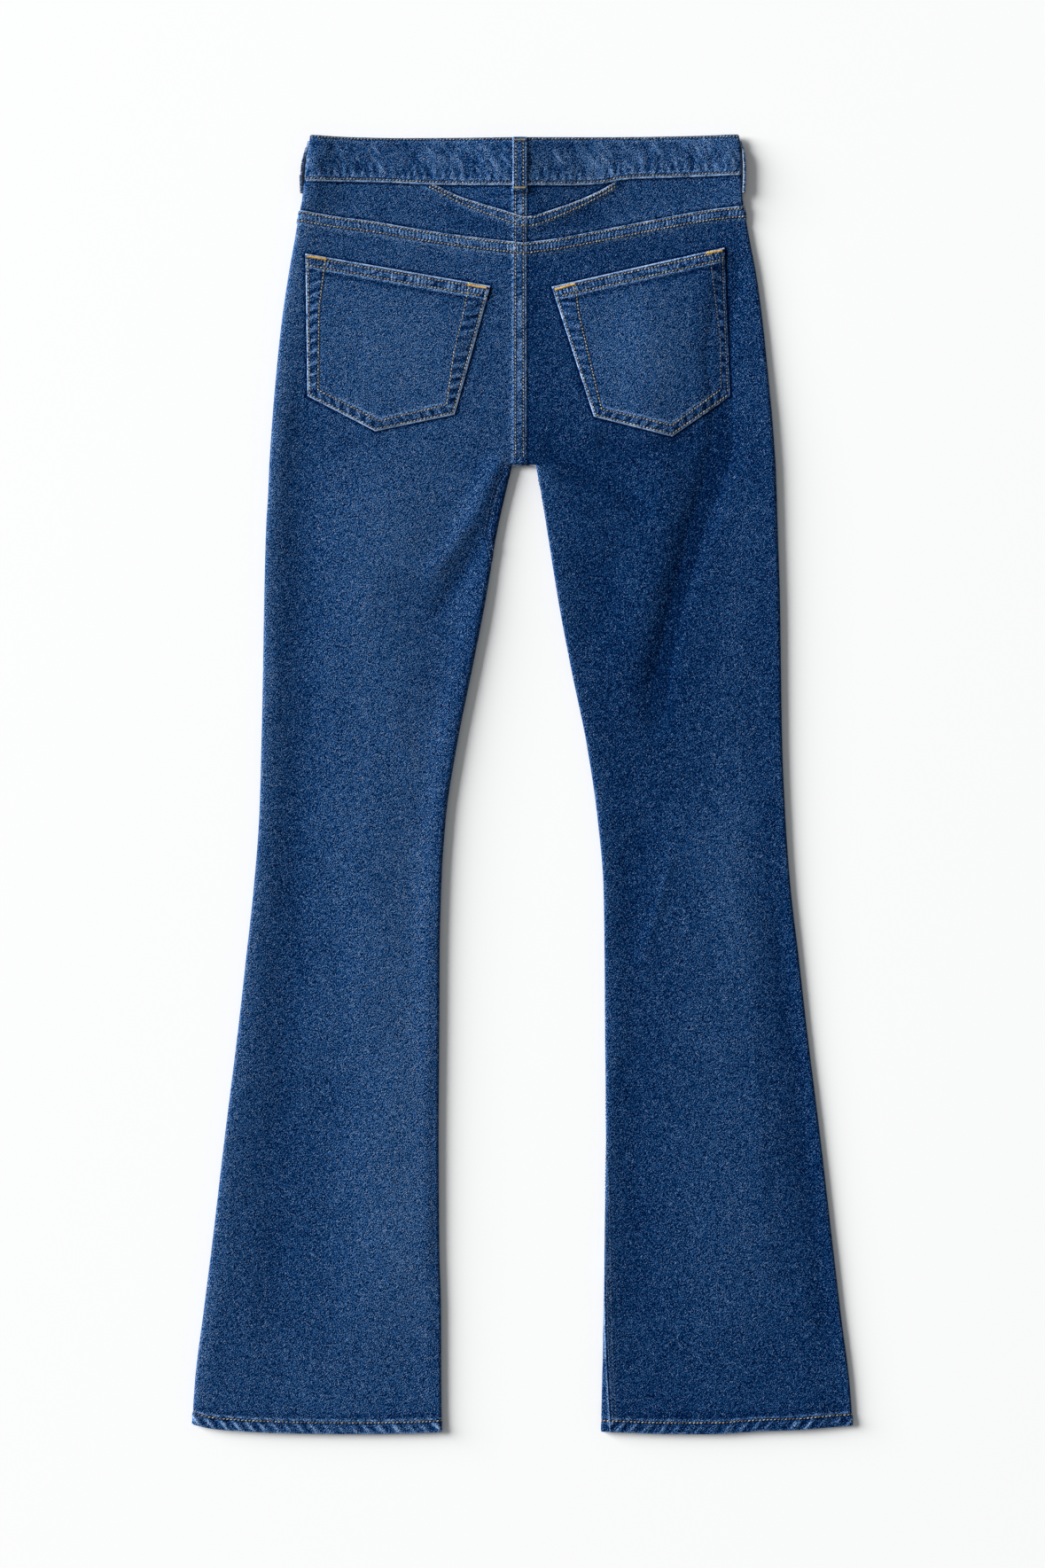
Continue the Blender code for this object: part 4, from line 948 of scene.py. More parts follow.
def yoke(side, name):
    c = Cloth()
    end = -CB_EDGE if side == LEFT else 2.2
    p_list = P_SEAT
    height = 33.0
    shares = [k / height for k in spaced(0, 4.2, 0.7) + spaced(4.2, 22.0, 1.05) + spaced(22.0, 31.8, 0.7)] + [0.966, 0.98, 0.99, 0.996, 1.0]
    for v in shares:
        yr, X = np.full(p_list.shape, 1070.0), np.full(p_list.shape, 150.0)
        for k in range(4):
            low, high = yoke_reach(side, X)
            yr = low + (high - low) * v
            xo, ro = outer(side, yr), out_r(side, yr)
            a = (p_list - 1.5) * math.pi
            X = np.select([p_list < 1, p_list < 2], [xo - SEAM_IN + (SEAM_IN - ro) * p_list, xo - ro + ro * np.cos(a)],
                          xo - ro + (end - xo + ro) * (p_list - 2))
        base = side_lift(side, xo, yr)
        z = np.select([p_list < 1, p_list < 2], [base, base + ro + ro * np.sin(a)], top(side, X, yr))
        s = run_of(X, 0 * yr, z)
        s_fold, s_top = float(np.interp(1.0, p_list, s)), float(np.interp(2.0, p_list, s))
        s_end = s[-1]
        s_cb = s_end - 16
        at = np.concatenate([np.linspace(0, s_fold, 5)[:-1], np.linspace(s_fold, s_top, 11)[:-1],
                             np.linspace(s_top, s_cb, 165)[:-1], np.linspace(s_cb, s_end, 19)])
        X2, y2, z2 = (np.interp(at, s, q) for q in (X, yr, z))
        tx = np.interp(at + 0.4, s, X) - np.interp(at - 0.4, s, X)
        tz = np.interp(at + 0.4, s, z) - np.interp(at - 0.4, s, z)
        size = np.hypot(tx, tz)
        n = np.stack([side * tz / size, 0 * at, -tx / size], axis=1)
        p = np.stack([side * X2, y2, z2], axis=1)
        flat = np.where(at < s_top, X2[np.searchsorted(at, s_top)] + s_top - at, X2)

        y_leg, c_leg = yoke_line(side, np.minimum(flat, 193.0))
        e = (y2 - y_leg) * c_leg
        dz, tone = under_edge(e)
        y_vee, c_vee = vee_line(side, flat)
        d_vee = (y_vee - y2) * c_vee
        far = ease(0, 80, flat)
        wide = 8.3 - 4.3 * far
        z3, t3 = felled(d_vee, flat * 1.05, wide + 1.6, (1.7, wide), 91 + side, shade=0.8 * (1 - 0.5 * far), line=1.7)
        t3 = t3 - 17 * ease(wide + 2.5, wide + 6.5, d_vee) * (1 - ease(56, 84, flat)) * ease(2.5, 8.0, e)
        on_vee = 1 - ease(84, 90, flat)
        z4, t4 = centre_seam(side, flat, y2, 21)
        both = np.clip(np.minimum(z3 * on_vee, z4), 0, None) if side == LEFT else 0
        dz = dz + z3 * on_vee + z4 - 0.35 * both
        tone = tone + t3 * on_vee + t4
        d_band = band_bottom(side * np.clip(flat, -190, 190)) - y2 - BAND_DROP
        dz = dz - 0.25 * bell(d_band, 1.6) * (d_band < 6)
        # a painted shadow under the waistband's lower fold, fainter over the V seam's band
        tone = tone - 50 * bell(np.clip(d_band, 0, None), 1.3) * (1 - 0.6 * on_vee * (d_vee < wide + 1) * (flat < 84))
        tone = tone + sample(FOLD_WEAR_AND_SHADING, side * X2, y2) + grain(flat, y2, 95 + side) + 3.0 * clouds(flat / 22, y2 / 16, 97 + side)
        # the fold worn light, with more painted highlight on the left fold, which faces the lamp
        tone = tone + (24 if side == LEFT else 9) * bell(at - s_top + 0.5, 9.0 if side == LEFT else 5.5) + (5 if side == LEFT else 2 + 8 * bell(e, 9.0))
        dz = dz + 0.12 * clouds(flat / 9.0, y2 / 14.0, 99 + side)
        wall = DENIM - 0.7 * bell(np.clip(d_vee, 0, None), 0.8) * on_vee
        c.add(p + n * dz[:, None], n, (side * flat + 300, y2), (tone, 0 * tone, 0 * tone), wall,
              {"d_vee": np.where(flat < 82, d_vee, 999.0), "d_vee2": np.where(flat < 82, d_vee - wide, 999.0), "d_cb": CB_EDGE - side * flat})
    LINES[name] = c
    return finish_piece(c.shell(name, 4, 70), name)


yoke(LEFT, "back_yoke_left")
yoke(RIGHT, "back_yoke_right")


def insert(side, name):
    """The shaped insert between the yokes' seam and the waistband, one half on each side."""
    c = Cloth()
    end = -CB_EDGE if side == LEFT else 2.2
    X = np.concatenate([np.linspace(90.0, 13.0, 66)[:-1], np.linspace(13.0, end, 17 if side == LEFT else 12)])
    band = band_bottom(side * X) + 0.5
    low = np.minimum(vee_edge[side](np.maximum(X, 0)) - 3.2, band - 1.2)
    for v in [k / 33.0 for k in spaced(0, 5.6, 0.7) + spaced(5.6, 33.0, 1.15)] + [1.0]:
        y = low + (band - low) * v
        y_vee, c_vee = vee_line(side, X)
        dz, tone = under_edge((y - y_vee) * c_vee)
        z4, t4 = centre_seam(side, X, y, 21)
        d_band = band - 0.5 - y - BAND_DROP
        dz = dz + z4 - 0.2 * bell(d_band, 1.6) + 0.1 * clouds(X / 9.0, y / 12.0, 103 + side)
        # a painted shadow under the waistband's lower fold
        tone = tone + t4 - 50 * bell(np.clip(d_band, 0, None), 1.3) + grain(X, y, 105 + side) - 2 + sample(FOLD_WEAR_AND_SHADING, side * X, y)
        p = np.stack([side * X, y, top(side, X, y) - 0.15 + dz], axis=1)
        n = np.zeros(p.shape)
        n[:, 2] = 1.0
        c.add(p, n, (side * X + 600, y), (tone, 0 * tone, 0 * tone), DENIM, {"d_cb": CB_EDGE - side * X})
    LINES[name] = c
    return finish_piece(c.shell(name, 4, 40), name)


insert(LEFT, "yoke_insert_left")
insert(RIGHT, "yoke_insert_right")


# ------------------------------------------------------------------ back pockets
def pocket_relief(side, x, y):
    """Height over the patch's base and tone, at points of the patch."""
    edge = POCKET_EDGE[side]
    a, b = np.array(edge[0]), np.array(edge[-1])
    along = (b - a) / np.linalg.norm(b - a)
    down = np.array([along[1], -along[0]]) * (-side if side == RIGHT else 1)
    if down[1] > 0:
        down = -down
    d_mouth = (x - a[0]) * down[0] + (y - a[1]) * down[1]
    s_mouth = (x - a[0]) * along[0] + (y - a[1]) * along[1]
    d_edge, s_edge, _ = edge_distance(x, y, edge, False)
    d_in, s_in, sign = edge_distance(x, y, POCKET_INNER[side], False)
    turn = -1 if side == LEFT else 1
    inside = d_in * sign * turn            # positive within the inner row
    inside = np.where(d_mouth < 0, -1, inside)
    # sides and bottom: turned under, two rows
    ring = 1 - ease(-0.8, 1.6, inside)
    round_edge = np.sqrt(np.clip(1 - (1 - np.clip(d_edge / 0.95, 0, 1)) ** 2, 0, 1))
    rope = roping(s_edge, 9.5, 111 + side, 0.5, d_edge)
    fine = roping(s_edge, 4.6, 113 + side, 0.3, d_edge)
    z = 0.45 * ring - 1.0 * (1 - round_edge) - pressed(d_edge, d_mouth)
    rung = ring * ease(EDGE_ROW, EDGE_ROW + 1.5, d_edge) * (1 - ease(-1.8, -0.2, inside))
    z = z + rung * (0.22 * rope + 0.1 * fine)
    z = z - 0.3 * bell(d_edge - EDGE_ROW, 0.75) - 0.26 * bell(inside, 0.8)
    # the edge's light core is painted darker on the right pocket's outer side, which lies in shade, and lighter on the
    # left pocket's inner side, which faces away from the lamp
    painted_edge_light = 1 - 0.55 * ease(150, 172, x) if side == RIGHT else 1 + 0.35 * ease(-72, -56, x)
    tone = 168 * bell(d_edge - 0.4, 0.75) * worn(s_edge, 115 + side) * painted_edge_light
    # the rung lighter on the puckers' crests, and painted shade in both stitch grooves
    tone = tone + rung * (52 * rope + 32 * fine - 2) - 40 * bell(d_edge - EDGE_ROW, 1.1) - 30 * bell(inside, 1.1)
    bottom = 1 - ease(0, 14, y - 0.5 * (edge[1][1] + edge[3][1]))
    tone = tone + (5 + 48 * bottom) * bell(inside - 2.1, 1.15) * (1 + 0.6 * fine) + 30 * bottom * bell(d_edge - 0.4, 0.75)
    # the mouth: a hem of its own, over the ring
    m_edge = np.sqrt(np.clip(1 - (1 - np.clip(d_mouth / 0.95, 0, 1)) ** 2, 0, 1))
    mouth = 1 - ease(MOUTH_WIDE - 1.0, MOUTH_WIDE + 1.2, d_mouth)
    rope_m = roping(s_mouth, 6.2, 117 + side, 0.3, d_mouth)
    rung_m = np.clip(roping(s_mouth, 2.95, 129 + side, 0.1, d_mouth), 0, None) ** 1.3
    between = ease(MOUTH_ROWS[0] + 0.3, MOUTH_ROWS[0] + 1.5, d_mouth) * (1 - ease(MOUTH_ROWS[1] - 1.5, MOUTH_ROWS[1] - 0.3, d_mouth))
    z = z * (1 - 0.45 * mouth) + mouth * (0.55 + (0.18 * rope_m + 0.12 * rung_m) * between) - 1.0 * (1 - m_edge)
    t_mouth = 158 * bell(d_mouth - 0.5, 0.9) * worn(s_mouth, 119) + between * (168 * rung_m + 34 * rope_m - 18) + 2
    # painted shade in the mouth's stitch grooves
    for row in MOUTH_ROWS:
        z = z - 0.3 * bell(d_mouth - row, 0.75) * (d_mouth < 16)
        t_mouth = t_mouth - 42 * bell(d_mouth - row, 1.15)
    t_mouth = t_mouth + 84 * bell(d_mouth - MOUTH_ROWS[1] - 2.0, 1.1) * (1 + 0.5 * rope_m)
    # a painted shadow just under the mouth's hem
    tone = tone * (1 - mouth) + t_mouth * mouth - 34 * bell(d_mouth - MOUTH_WIDE - 2.2, 1.8) + 98 * bell(d_edge - 0.4, 0.85) * mouth * 0.6 * painted_edge_light
    # lighter and raised in the middle; the right pocket painted darker towards its outer side, in the hip valley's
    # shade
    centre = np.array(edge).mean(axis=0)
    pocket_middle = bell(np.hypot((x - centre[0] + side * 8) / 48.0, (y - centre[1] - 6) / 44.0), 1.0)
    tone = tone + (11 if side == LEFT else 12) * pocket_middle * (inside > -1) * (1 - mouth) + (5 if side == LEFT else 5 - 14 * ease(118, 160, x))
    z = z + 0.5 * pocket_middle + 0.09 * clouds(x / 7.0, y / 7.0, 121 + side)
    return z, tone, d_edge, inside, d_mouth


def pressed(d_edge, d_mouth):
    """The patch lies closer to the seat near its edges than in its middle."""
    return 1.1 * np.maximum(bell(d_edge, 9.0), bell(np.clip(d_mouth, 0, None), 9.0))


def pocket_ground(side, x, y):
    return top(side, side * x, y) + 0.35 + POCKET_WALL


def pocket(side, name):
    edge = [np.array(q) for q in POCKET_EDGE[side]]
    mouth_out, low_out, point, low_in, mouth_in = edge
    to_point = np.linalg.norm(point - low_out)
    share = to_point / (to_point + np.linalg.norm(low_in - point))
    width = 150.0
    across = [k / width for k in [0, 0.25, 0.6, 1.1] + spaced(1.7, 20.0, 0.9) + spaced(20.0, 130.0, 1.45) + spaced(130.0, 148.3, 0.9)] + [1 - 1.1 / width, 1 - 0.6 / width, 1 - 0.25 / width, 1.0]
    split = int(np.argmin(np.abs(np.array(across) - share)))
    across[split] = share
    tall = 135.0
    downs = [k / tall for k in [0, 0.25, 0.6, 1.1] + spaced(1.7, 16.0, 0.85) + spaced(16.0, 120.0, 1.4) + spaced(120.0, 133.3, 0.85)] + [1 - 1.1 / tall, 1 - 0.6 / tall, 1 - 0.25 / tall, 1.0]
    u = np.array(across)[:, None]
    upper = mouth_out + (mouth_in - mouth_out) * u
    lower = np.where(u <= share, low_out + (point - low_out) * (u / share), point + (low_in - point) * ((u - share) / (1 - share)))
    c = Cloth()
    for v in downs:
        q = upper + (lower - upper) * v
        x, y = q[:, 0], q[:, 1]
        z, tone, d_edge, inside, d_mouth = pocket_relief(side, x, y)
        p = np.stack([x, y, pocket_ground(side, x, y) + z], axis=1)
        n = np.zeros(p.shape)
        n[:, 2] = 1.0
        tone = tone + grain(x, y, 125 + side) + 2.5 * clouds(x / 24.0, y / 24.0, 127 + side) + (4 if side == LEFT else 0)
        edge_in = np.minimum(d_edge, np.clip(d_mouth, 0, None))
        wall = POCKET_WALL + 0.45 * (1 - ease(-1.0, 2.0, inside)) - 1.0 * bell(edge_in, 0.8) - pressed(d_edge, d_mouth)
        c.add(p, n, (x + side * 40 + 900, y), (tone, 0 * tone, 0 * tone), np.maximum(wall, 0.3))
    return finish_piece(c.shell(name, 4, 40), name)


pocket(LEFT, "back_pocket_left")
pocket(RIGHT, "back_pocket_right")


# ------------------------------------------------------------------ waistband
def waist_top(x):
    """Height of the waistband's outer face on the back."""
    X = np.abs(x)
    both = np.where(x < 0, top(LEFT, X, 1083.0 + 0 * x), top(RIGHT, X, 1083.0 + 0 * x))
    return both + 1.3 * ease(0, 10, np.where(x < 0, 189.0, 189.6) - X) + 0.25


def waist_path(v):
    """The waistband's outline at one height: from the lapped end at the front, under to the left fold,
    over the back to the right fold and under again to the end that carries the button."""
    left, right = float(band_side[LEFT](1086 + 41 * v)), float(band_side[RIGHT](1086 + 41 * v))
    R, Rr = 3.35, 2.6   # the left fold stands a little higher than the right one
    low = SIDE_LIFT - 0.1
    x1 = np.linspace(14.0, -left + R, 62)
    z1 = np.maximum(BUTTON_LIFT * (1 - ease(11, 40, np.abs(x1))), low * (1 - ease(R + 8, 26, left + x1)))
    a = np.linspace(-90, -270, 19)[1:-1] * math.pi / 180
    x2, z2 = -left + R + R * np.cos(a), low + R + R * np.sin(a)
    x3 = np.linspace(-left + R, right - Rr, 372)
    edge = np.minimum(left + x3 - R, right - x3 - Rr)
    z3 = waist_top(x3)
    z3 = z3 + (low + 2 * np.where(x3 < 0, R, Rr) - z3) * bell(edge, 6.0)
    a = np.linspace(90, -90, 19)[1:-1] * math.pi / 180
    x4, z4 = right - Rr + Rr * np.cos(a), low + Rr + Rr * np.sin(a)
    x5 = np.linspace(right - Rr, -30.0, 66)
    z5 = np.maximum(BUTTON_LIFT * (1 - ease(11, 40, np.abs(x5))), low * (1 - ease(Rr + 8, 26, right - x5)))
    z5 = z5 + (BAND_WALL + 0.4) * (1 - ease(17, 38, x5))
    x = np.concatenate([x1, x2, x3, x4, x5])
    z = np.concatenate([z1, z2, z3, z4, z5])
    back = np.concatenate([0 * x1, 0 * x2 + np.linspace(0, 1, len(x2)), 0 * x3 + 1, np.linspace(1, 0, len(x4)), 0 * x5])
    return x, z, back


def waistband():
    c = Cloth()
    tall = 41.0
    for mm in [0.0, 0.2, 0.55, 1.0] + spaced(1.5, 39.6, 0.9) + [39.6, 40.2, 40.6, 40.85, 41.0]:
        v = mm / tall
        x, z, back = waist_path(v)
        dip = BAND_DIP * (1 - ease(20, 175, np.abs(x))) * (back < 0.01) + BAND_DROP * back * (1 - v)
        y = band_bottom(x) + (band_top(x) - band_bottom(x)) * v - dip
        tx, tz = np.gradient(x), np.gradient(z)
        size = np.hypot(tx, tz)
        n = np.stack([-tz / size, 0 * x, tx / size], axis=1)
        s = run_of(x, 0 * x, z)
        d_low, d_high = mm, (band_top(x) - band_bottom(x)) * (1 - v)
        d_low = (band_top(x) - band_bottom(x)) * v
        low_edge = np.sqrt(np.clip(1 - (1 - np.clip(d_low / 1.1, 0, 1)) ** 2, 0, 1))
        high_edge = np.sqrt(np.clip(1 - (1 - np.clip(d_high / 1.2, 0, 1)) ** 2, 0, 1))
        dz = -0.95 * (1 - low_edge) - 1.0 * (1 - high_edge)
        rope = roping(s, 7.6, 131, 0.25, d_low)
        fine = roping(s, 4.1, 133, -0.2, d_low)
        near_low = ease(3.4, 5.2, d_low) * (1 - ease(7.0, 20.0, d_low))
        slant = clouds((s + 0.8 * d_low) / 7.5, (d_low - 0.35 * s) / 17.0, 135, 2)
        crease = np.clip(noise((s + 1.1 * d_low) / 3.4, (d_low - 0.5 * s) / 21.0, 136) - 0.25, 0, None)
        blotch = clouds(s / 13.0, d_low / 12.0, 137, 2)
        dz = dz - 0.32 * bell(d_low - 2.5, 0.8) - 0.3 * bell(d_high - 1.4, 0.8)
        dz = dz + 0.26 * rope * near_low + 0.14 * fine * near_low * bell(d_low - 4, 4.0) + 0.5 * slant * ease(2.5, 7.0, d_low) * ease(2.0, 6.0, d_high)
        tone = 150 * bell(d_low - 0.6, 0.95) * worn(s, 139, 0.35)
        tone = tone + 40 * bell(d_high, 0.8) * (0.8 + 0.5 * noise(s / 5.0, 0.4, 141)) + 24 * bell(d_high - 3.6, 1.1) * (1 + 0.6 * fine)
        # painted shade in both stitch grooves
        tone = tone - 34 * bell(d_low - 2.7, 1.3) - 30 * bell(d_high - 1.5, 1.0)
        tone = tone + near_low * (34 * rope + 22 * fine) + 26 * bell(d_low - 4.8, 1.3) * (1 + 0.5 * fine) + 14 * blotch + 7
        tone = tone + (24 * slant + 66 * crease) * ease(3, 8, d_low) * ease(3, 8, d_high) + 3 * ease(0, 30, x)
        near_loop = bell(x + 2.0, 26.0) * ease(0.5, 1.0, back)
        tone = tone - 15 * near_loop * (1 - near_low * 0.5)
        tone = tone + 9 * bell(back * 2 - 1, 0.9) * (np.abs(x) > 150)
        tone = tone + grain(s, d_low, 143)
        p = np.stack([x, y, z], axis=1) + n * dz[:, None]
        p[:, 2] = np.maximum(p[:, 2], 0.0)
        c.add(p, n, (s + 1500, 1.0 * d_low), (tone, 0 * tone, 0 * tone), BAND_WALL - 0.7 * bell(d_high, 0.9) - 0.7 * bell(d_low, 0.9),
              {"d_low": d_low, "d_high": d_high, "x": x, "back": back})
    LINES["waistband"] = c
    return finish_piece(c.shell("waistband", 4, 170), "waistband")


waistband()


# ------------------------------------------------------------------ belt loops
def loop_strip(c, rows, wide_list, seed):
    """A belt loop from the points of its middle line's outer face: rows of (centre, across, out, width)."""
    along = 0.0
    last = None
    for (mid, across, out), wide in zip(rows, wide_list):
        mid, across, out = np.array(mid, float), np.array(across, float), np.array(out, float)
        if last is not None:
            along += float(np.linalg.norm(mid - last))
        last = mid
        k = np.array([0, 0.03, 0.075, 0.13, 0.19, 0.25, 0.32, 0.39, 0.46, 0.54, 0.61, 0.68, 0.75, 0.81, 0.87, 0.925, 0.97, 1.0])
        off = (k - 0.5) * wide
        d = np.minimum(k, 1 - k) * wide
        round_edge = np.sqrt(np.clip(1 - (1 - np.clip(d / 0.9, 0, 1)) ** 2, 0, 1))
        rope = roping(np.full(k.shape, along), 5.0, seed)
        z = -0.75 * (1 - round_edge) - 0.26 * bell(d - 3.0, 0.7) + 0.2 * bell(off, wide * 0.22) + 0.08 * rope
        # painted shade in the stitch grooves
        tone = 120 * bell(d - 0.4, 0.9) * (0.8 + 0.35 * noise(along / 3.0 + 0 * k, k, seed)) - 34 * bell(d - 3.0, 1.1) + 12 + 14 * rope * bell(off, 3.0)
        p = mid + across * off[:, None] + out * z[:, None]
        n = np.tile(out, (len(k), 1))
        c.add(p, n, (off + 2100 + seed, along + 0 * k), (tone + grain(off, along + 0 * k, seed), 0 * tone, 0 * tone), LOOP_WALL_V - 0.5 * bell(d, 0.8),
              {"off": off, "along": along})


LOOP_WALL_V = 1.5


def back_loop():
    c = Cloth()
    rows, wides = [], []
    ys = [1076.4, 1076.7, 1077.2] + spaced(1078.0, 1122.6, 0.9) + [1122.8, 1123.4, 1123.9, 1124.15]
    for y in ys:
        t = (y - 1076.4) / (1124.15 - 1076.4)
        low = float(top(LEFT, np.array(2.0), np.array(1077.0))) + BAND_HIGH + 0.15
        high = float(waist_top(np.array(-2.3)))
        ground = low + (high - low) * float(ease(1079.0, 1087.0, y)) - 0.5 * float(ease(1121.5, 1124.2, y))
        end = float(1 - math.sqrt(max(0.0, 1 - (1 - min((y - 1076.4) / 1.1, 1)) ** 2))) * 0.8
        z = ground + 0.25 + LOOP_WALL_V + 1.15 * math.sin(math.pi * min(max((t - 0.1) / 0.9, 0), 1)) ** 2 - end + 0.35 * float(bell(y - 1079.0, 2.2))
        z -= 0.35 * float(bell(y - 1080.0, 0.9))
        rows.append(((-2.4, y, z), (1, 0, 0), (0, 0, 1)))
        wides.append(LOOP_W + 1.7 * float(1 - ease(1077.5, 1082.5, y)) - 0.2)
    loop_strip(c, rows, wides, 151)
    LINES["belt_loop_back"] = c
    return finish_piece(c.shell("belt_loop_back", 3, 10), "belt_loop_back")


back_loop()


def side_loop(side, name):
    """A loop at the side: from under the waistband round its fold, standing a little off it."""
    c = Cloth()
    for y in spaced(1076.6, 1121.8, 0.95) + [1121.8]:
        edge = float(band_side[side](y)) if y > 1086 else float(outer(side, y))
        edge = max(edge, float(outer(side, y))) if y < 1092 else edge
        r = BAND_R + GAP + 1.6
        t = min(max((y - 1072.0) / 52.0, 0), 1)
        wide = r + 0.1 + 2.0 * math.sin(math.pi * t) ** 1.4
        end = -25 + 55 * float(1 - ease(1106, 1123, y))
        cx, cz = edge - BAND_R, SIDE_LIFT + BAND_R
        a = np.radians(np.linspace(-90, end, 26))
        under = np.linspace(edge - 8.2, cx, 7)[:-1]
        x = np.concatenate([under, cx + wide * np.cos(a)])
        z = np.concatenate([0.25 + 0 * under, cz + r * np.sin(a) + 0.2])
        z = np.maximum(z, 0.2)
        tx, tz = np.gradient(x), np.gradient(z)
        size = np.hypot(tx, tz)
        n = np.stack([side * tz / size, 0 * x, -tx / size], axis=1)
        s = run_of(x, 0 * x, z)
        d = np.minimum(s, s[-1] - s)
        round_edge = np.sqrt(np.clip(1 - (1 - np.clip(d / 0.9, 0, 1)) ** 2, 0, 1))
        rope = roping(y + 0 * s, 5.0, 161 + side)
        dz = -0.6 * (1 - round_edge) - 0.2 * bell(d - 3.0, 0.7)
        # painted shade in the stitch grooves
        tone = 60 * bell(d - 0.3, 0.8) - 18 * bell(d - 3.0, 0.9) - 12 + 8 * rope
        p = np.stack([side * x, y + 0 * x, z], axis=1) + n * dz[:, None]
        p[:, 2] = np.maximum(p[:, 2], 0.0)
        c.add(p, n, (s + 2300, y + 0 * s), (tone, 0 * tone, 0 * tone), 1.3, {"d0": s, "d1": s[-1] - s, "y": y})
    LINES[name] = c
    return finish_piece(c.shell(name, 4, 16), name)


side_loop(LEFT, "belt_loop_side_left")
side_loop(RIGHT, "belt_loop_side_right")


# ------------------------------------------------------------------ threads
THREADS = {}
TAN = [srgb(160, 150, 118), srgb(134, 118, 82), srgb(192, 184, 156)]
GREYED = [srgb(140, 134, 114), srgb(112, 103, 84), srgb(170, 165, 148)]
# thread painted dark for the shade over the right pocket's outer side
THREAD_IN_SHADE = [srgb(98, 100, 98), srgb(80, 80, 78), srgb(120, 122, 118)]
BLUED = [srgb(70, 92, 122), srgb(52, 74, 104), srgb(98, 116, 138)]
HEMMED = [srgb(176, 160, 118), srgb(120, 104, 68), srgb(204, 192, 156)]
GOLD = [srgb(228, 180, 88), srgb(212, 158, 66), srgb(240, 206, 134)]
RUST = [srgb(198, 160, 104), srgb(176, 132, 78), srgb(218, 190, 144)]
RING = np.arange(6) * math.pi / 3


def unit(v):
    return v / np.maximum(np.linalg.norm(v, axis=-1, keepdims=True), 1e-9)


def strands(group, a, m, b, n, radius, dyes, seed, sink=0.34, crown=0.16):
    """Short threads, each from a over m to b on the cloth, its ends drawn into it."""
    k = len(a)
    if not k:
        return
    rng = np.random.default_rng(seed)
    pick = rng.random((k, 1))
    dye = np.where(pick < 0.45, dyes[0], np.where(pick < 0.75, dyes[1], dyes[2])) * (0.86 + 0.28 * rng.random((k, 1)))
    r = radius * (0.92 + 0.16 * rng.random(k))
    t = np.array([-0.06, 0.02, 0.16, 0.5, 0.84, 0.98, 1.06])
    size = np.array([0.0, 0.72, 0.98, 1.0, 0.98, 0.72, 0.0])
    high = np.array([-1.0, -0.62, 0.3, 1.0, 0.3, -0.62, -1.0])
    tt = t[None, :, None]
    mid = a[:, None] * (2 * (tt - 0.5) * (tt - 1)) + m[:, None] * (4 * tt * (1 - tt)) + b[:, None] * (2 * tt * (tt - 0.5))
    off = np.where(high > 0, crown * high, sink * high)
    mid = mid + n[:, None] * off[None, :, None]
    tangent = unit(b - a)
    across = unit(np.cross(tangent, n))
    up = np.cross(across, tangent)
    ring = np.cos(RING)[None, None, :, None] * across[:, None, None] + np.sin(RING)[None, None, :, None] * up[:, None, None]
    body = mid[:, 1:6, None] + ring * (r[:, None] * size[None, 1:6])[:, :, None, None]
    pts = np.concatenate([body.reshape(k, 30, 3), mid[:, [0]], mid[:, [6]]], axis=1)
    quads, tris = [], []
    for i in range(4):
        for j in range(6):
            j2 = (j + 1) % 6
            quads.append((i * 6 + j, i * 6 + 6 + j, i * 6 + 6 + j2, i * 6 + j2))
    for j in range(6):
        j2 = (j + 1) % 6
        tris.append((30, j, j2))
        tris.append((31, 24 + j2, 24 + j))
    length = np.linalg.norm(b - a, axis=1)
    run = np.concatenate([np.repeat(t[1:6], 6), t[[0]], t[[6]]])
    around = np.concatenate([np.tile(np.arange(6) / 6.0, 5), [0, 0]])
    strand = np.stack([run[None] * length[:, None], np.broadcast_to(around, (k, 32)), np.broadcast_to(rng.random((k, 1)) * 50, (k, 32))], axis=-1)
    THREADS.setdefault(group, []).append((pts, np.array(quads), np.array(tris), np.repeat(dye[:, None], 32, axis=1), strand))


def sew(group, line, dyes, seed, pitch=2.86, length=1.95, radius=0.45, cut=(0.0, 0.0), lean=0.3):
    """A row of lockstitches along a line (points, normals) on the cloth."""
    p, n = line
    if len(p) < 2:
        print("no line for", group, seed)
        return
    s = run_of(p[:, 0], p[:, 1], p[:, 2])
    rng = np.random.default_rng(seed)
    count = int((s[-1] - cut[0] - cut[1]) / pitch)
    a = cut[0] + pitch * (np.arange(count) + 0.2) + rng.normal(0, 0.07, count)
    b = a + length + rng.normal(0, 0.1, count)

    def at(x, q):
        return np.stack([np.interp(x, s, q[:, j]) for j in range(3)], axis=1)

    # each stitch lies a little across the row, as the thread's twist turns it
    nn = unit(at((a + b) / 2, n))
    over = unit(np.cross(at(b, p) - at(a, p), nn))
    sway, turned = over * rng.normal(0, 0.06, (count, 1)), over * rng.normal(lean, 0.05, (count, 1))
    strands(group, at(a, p) + sway + turned, at((a + b) / 2, p) + sway, at(b, p) + sway - turned, nn, radius, dyes, seed + 1)


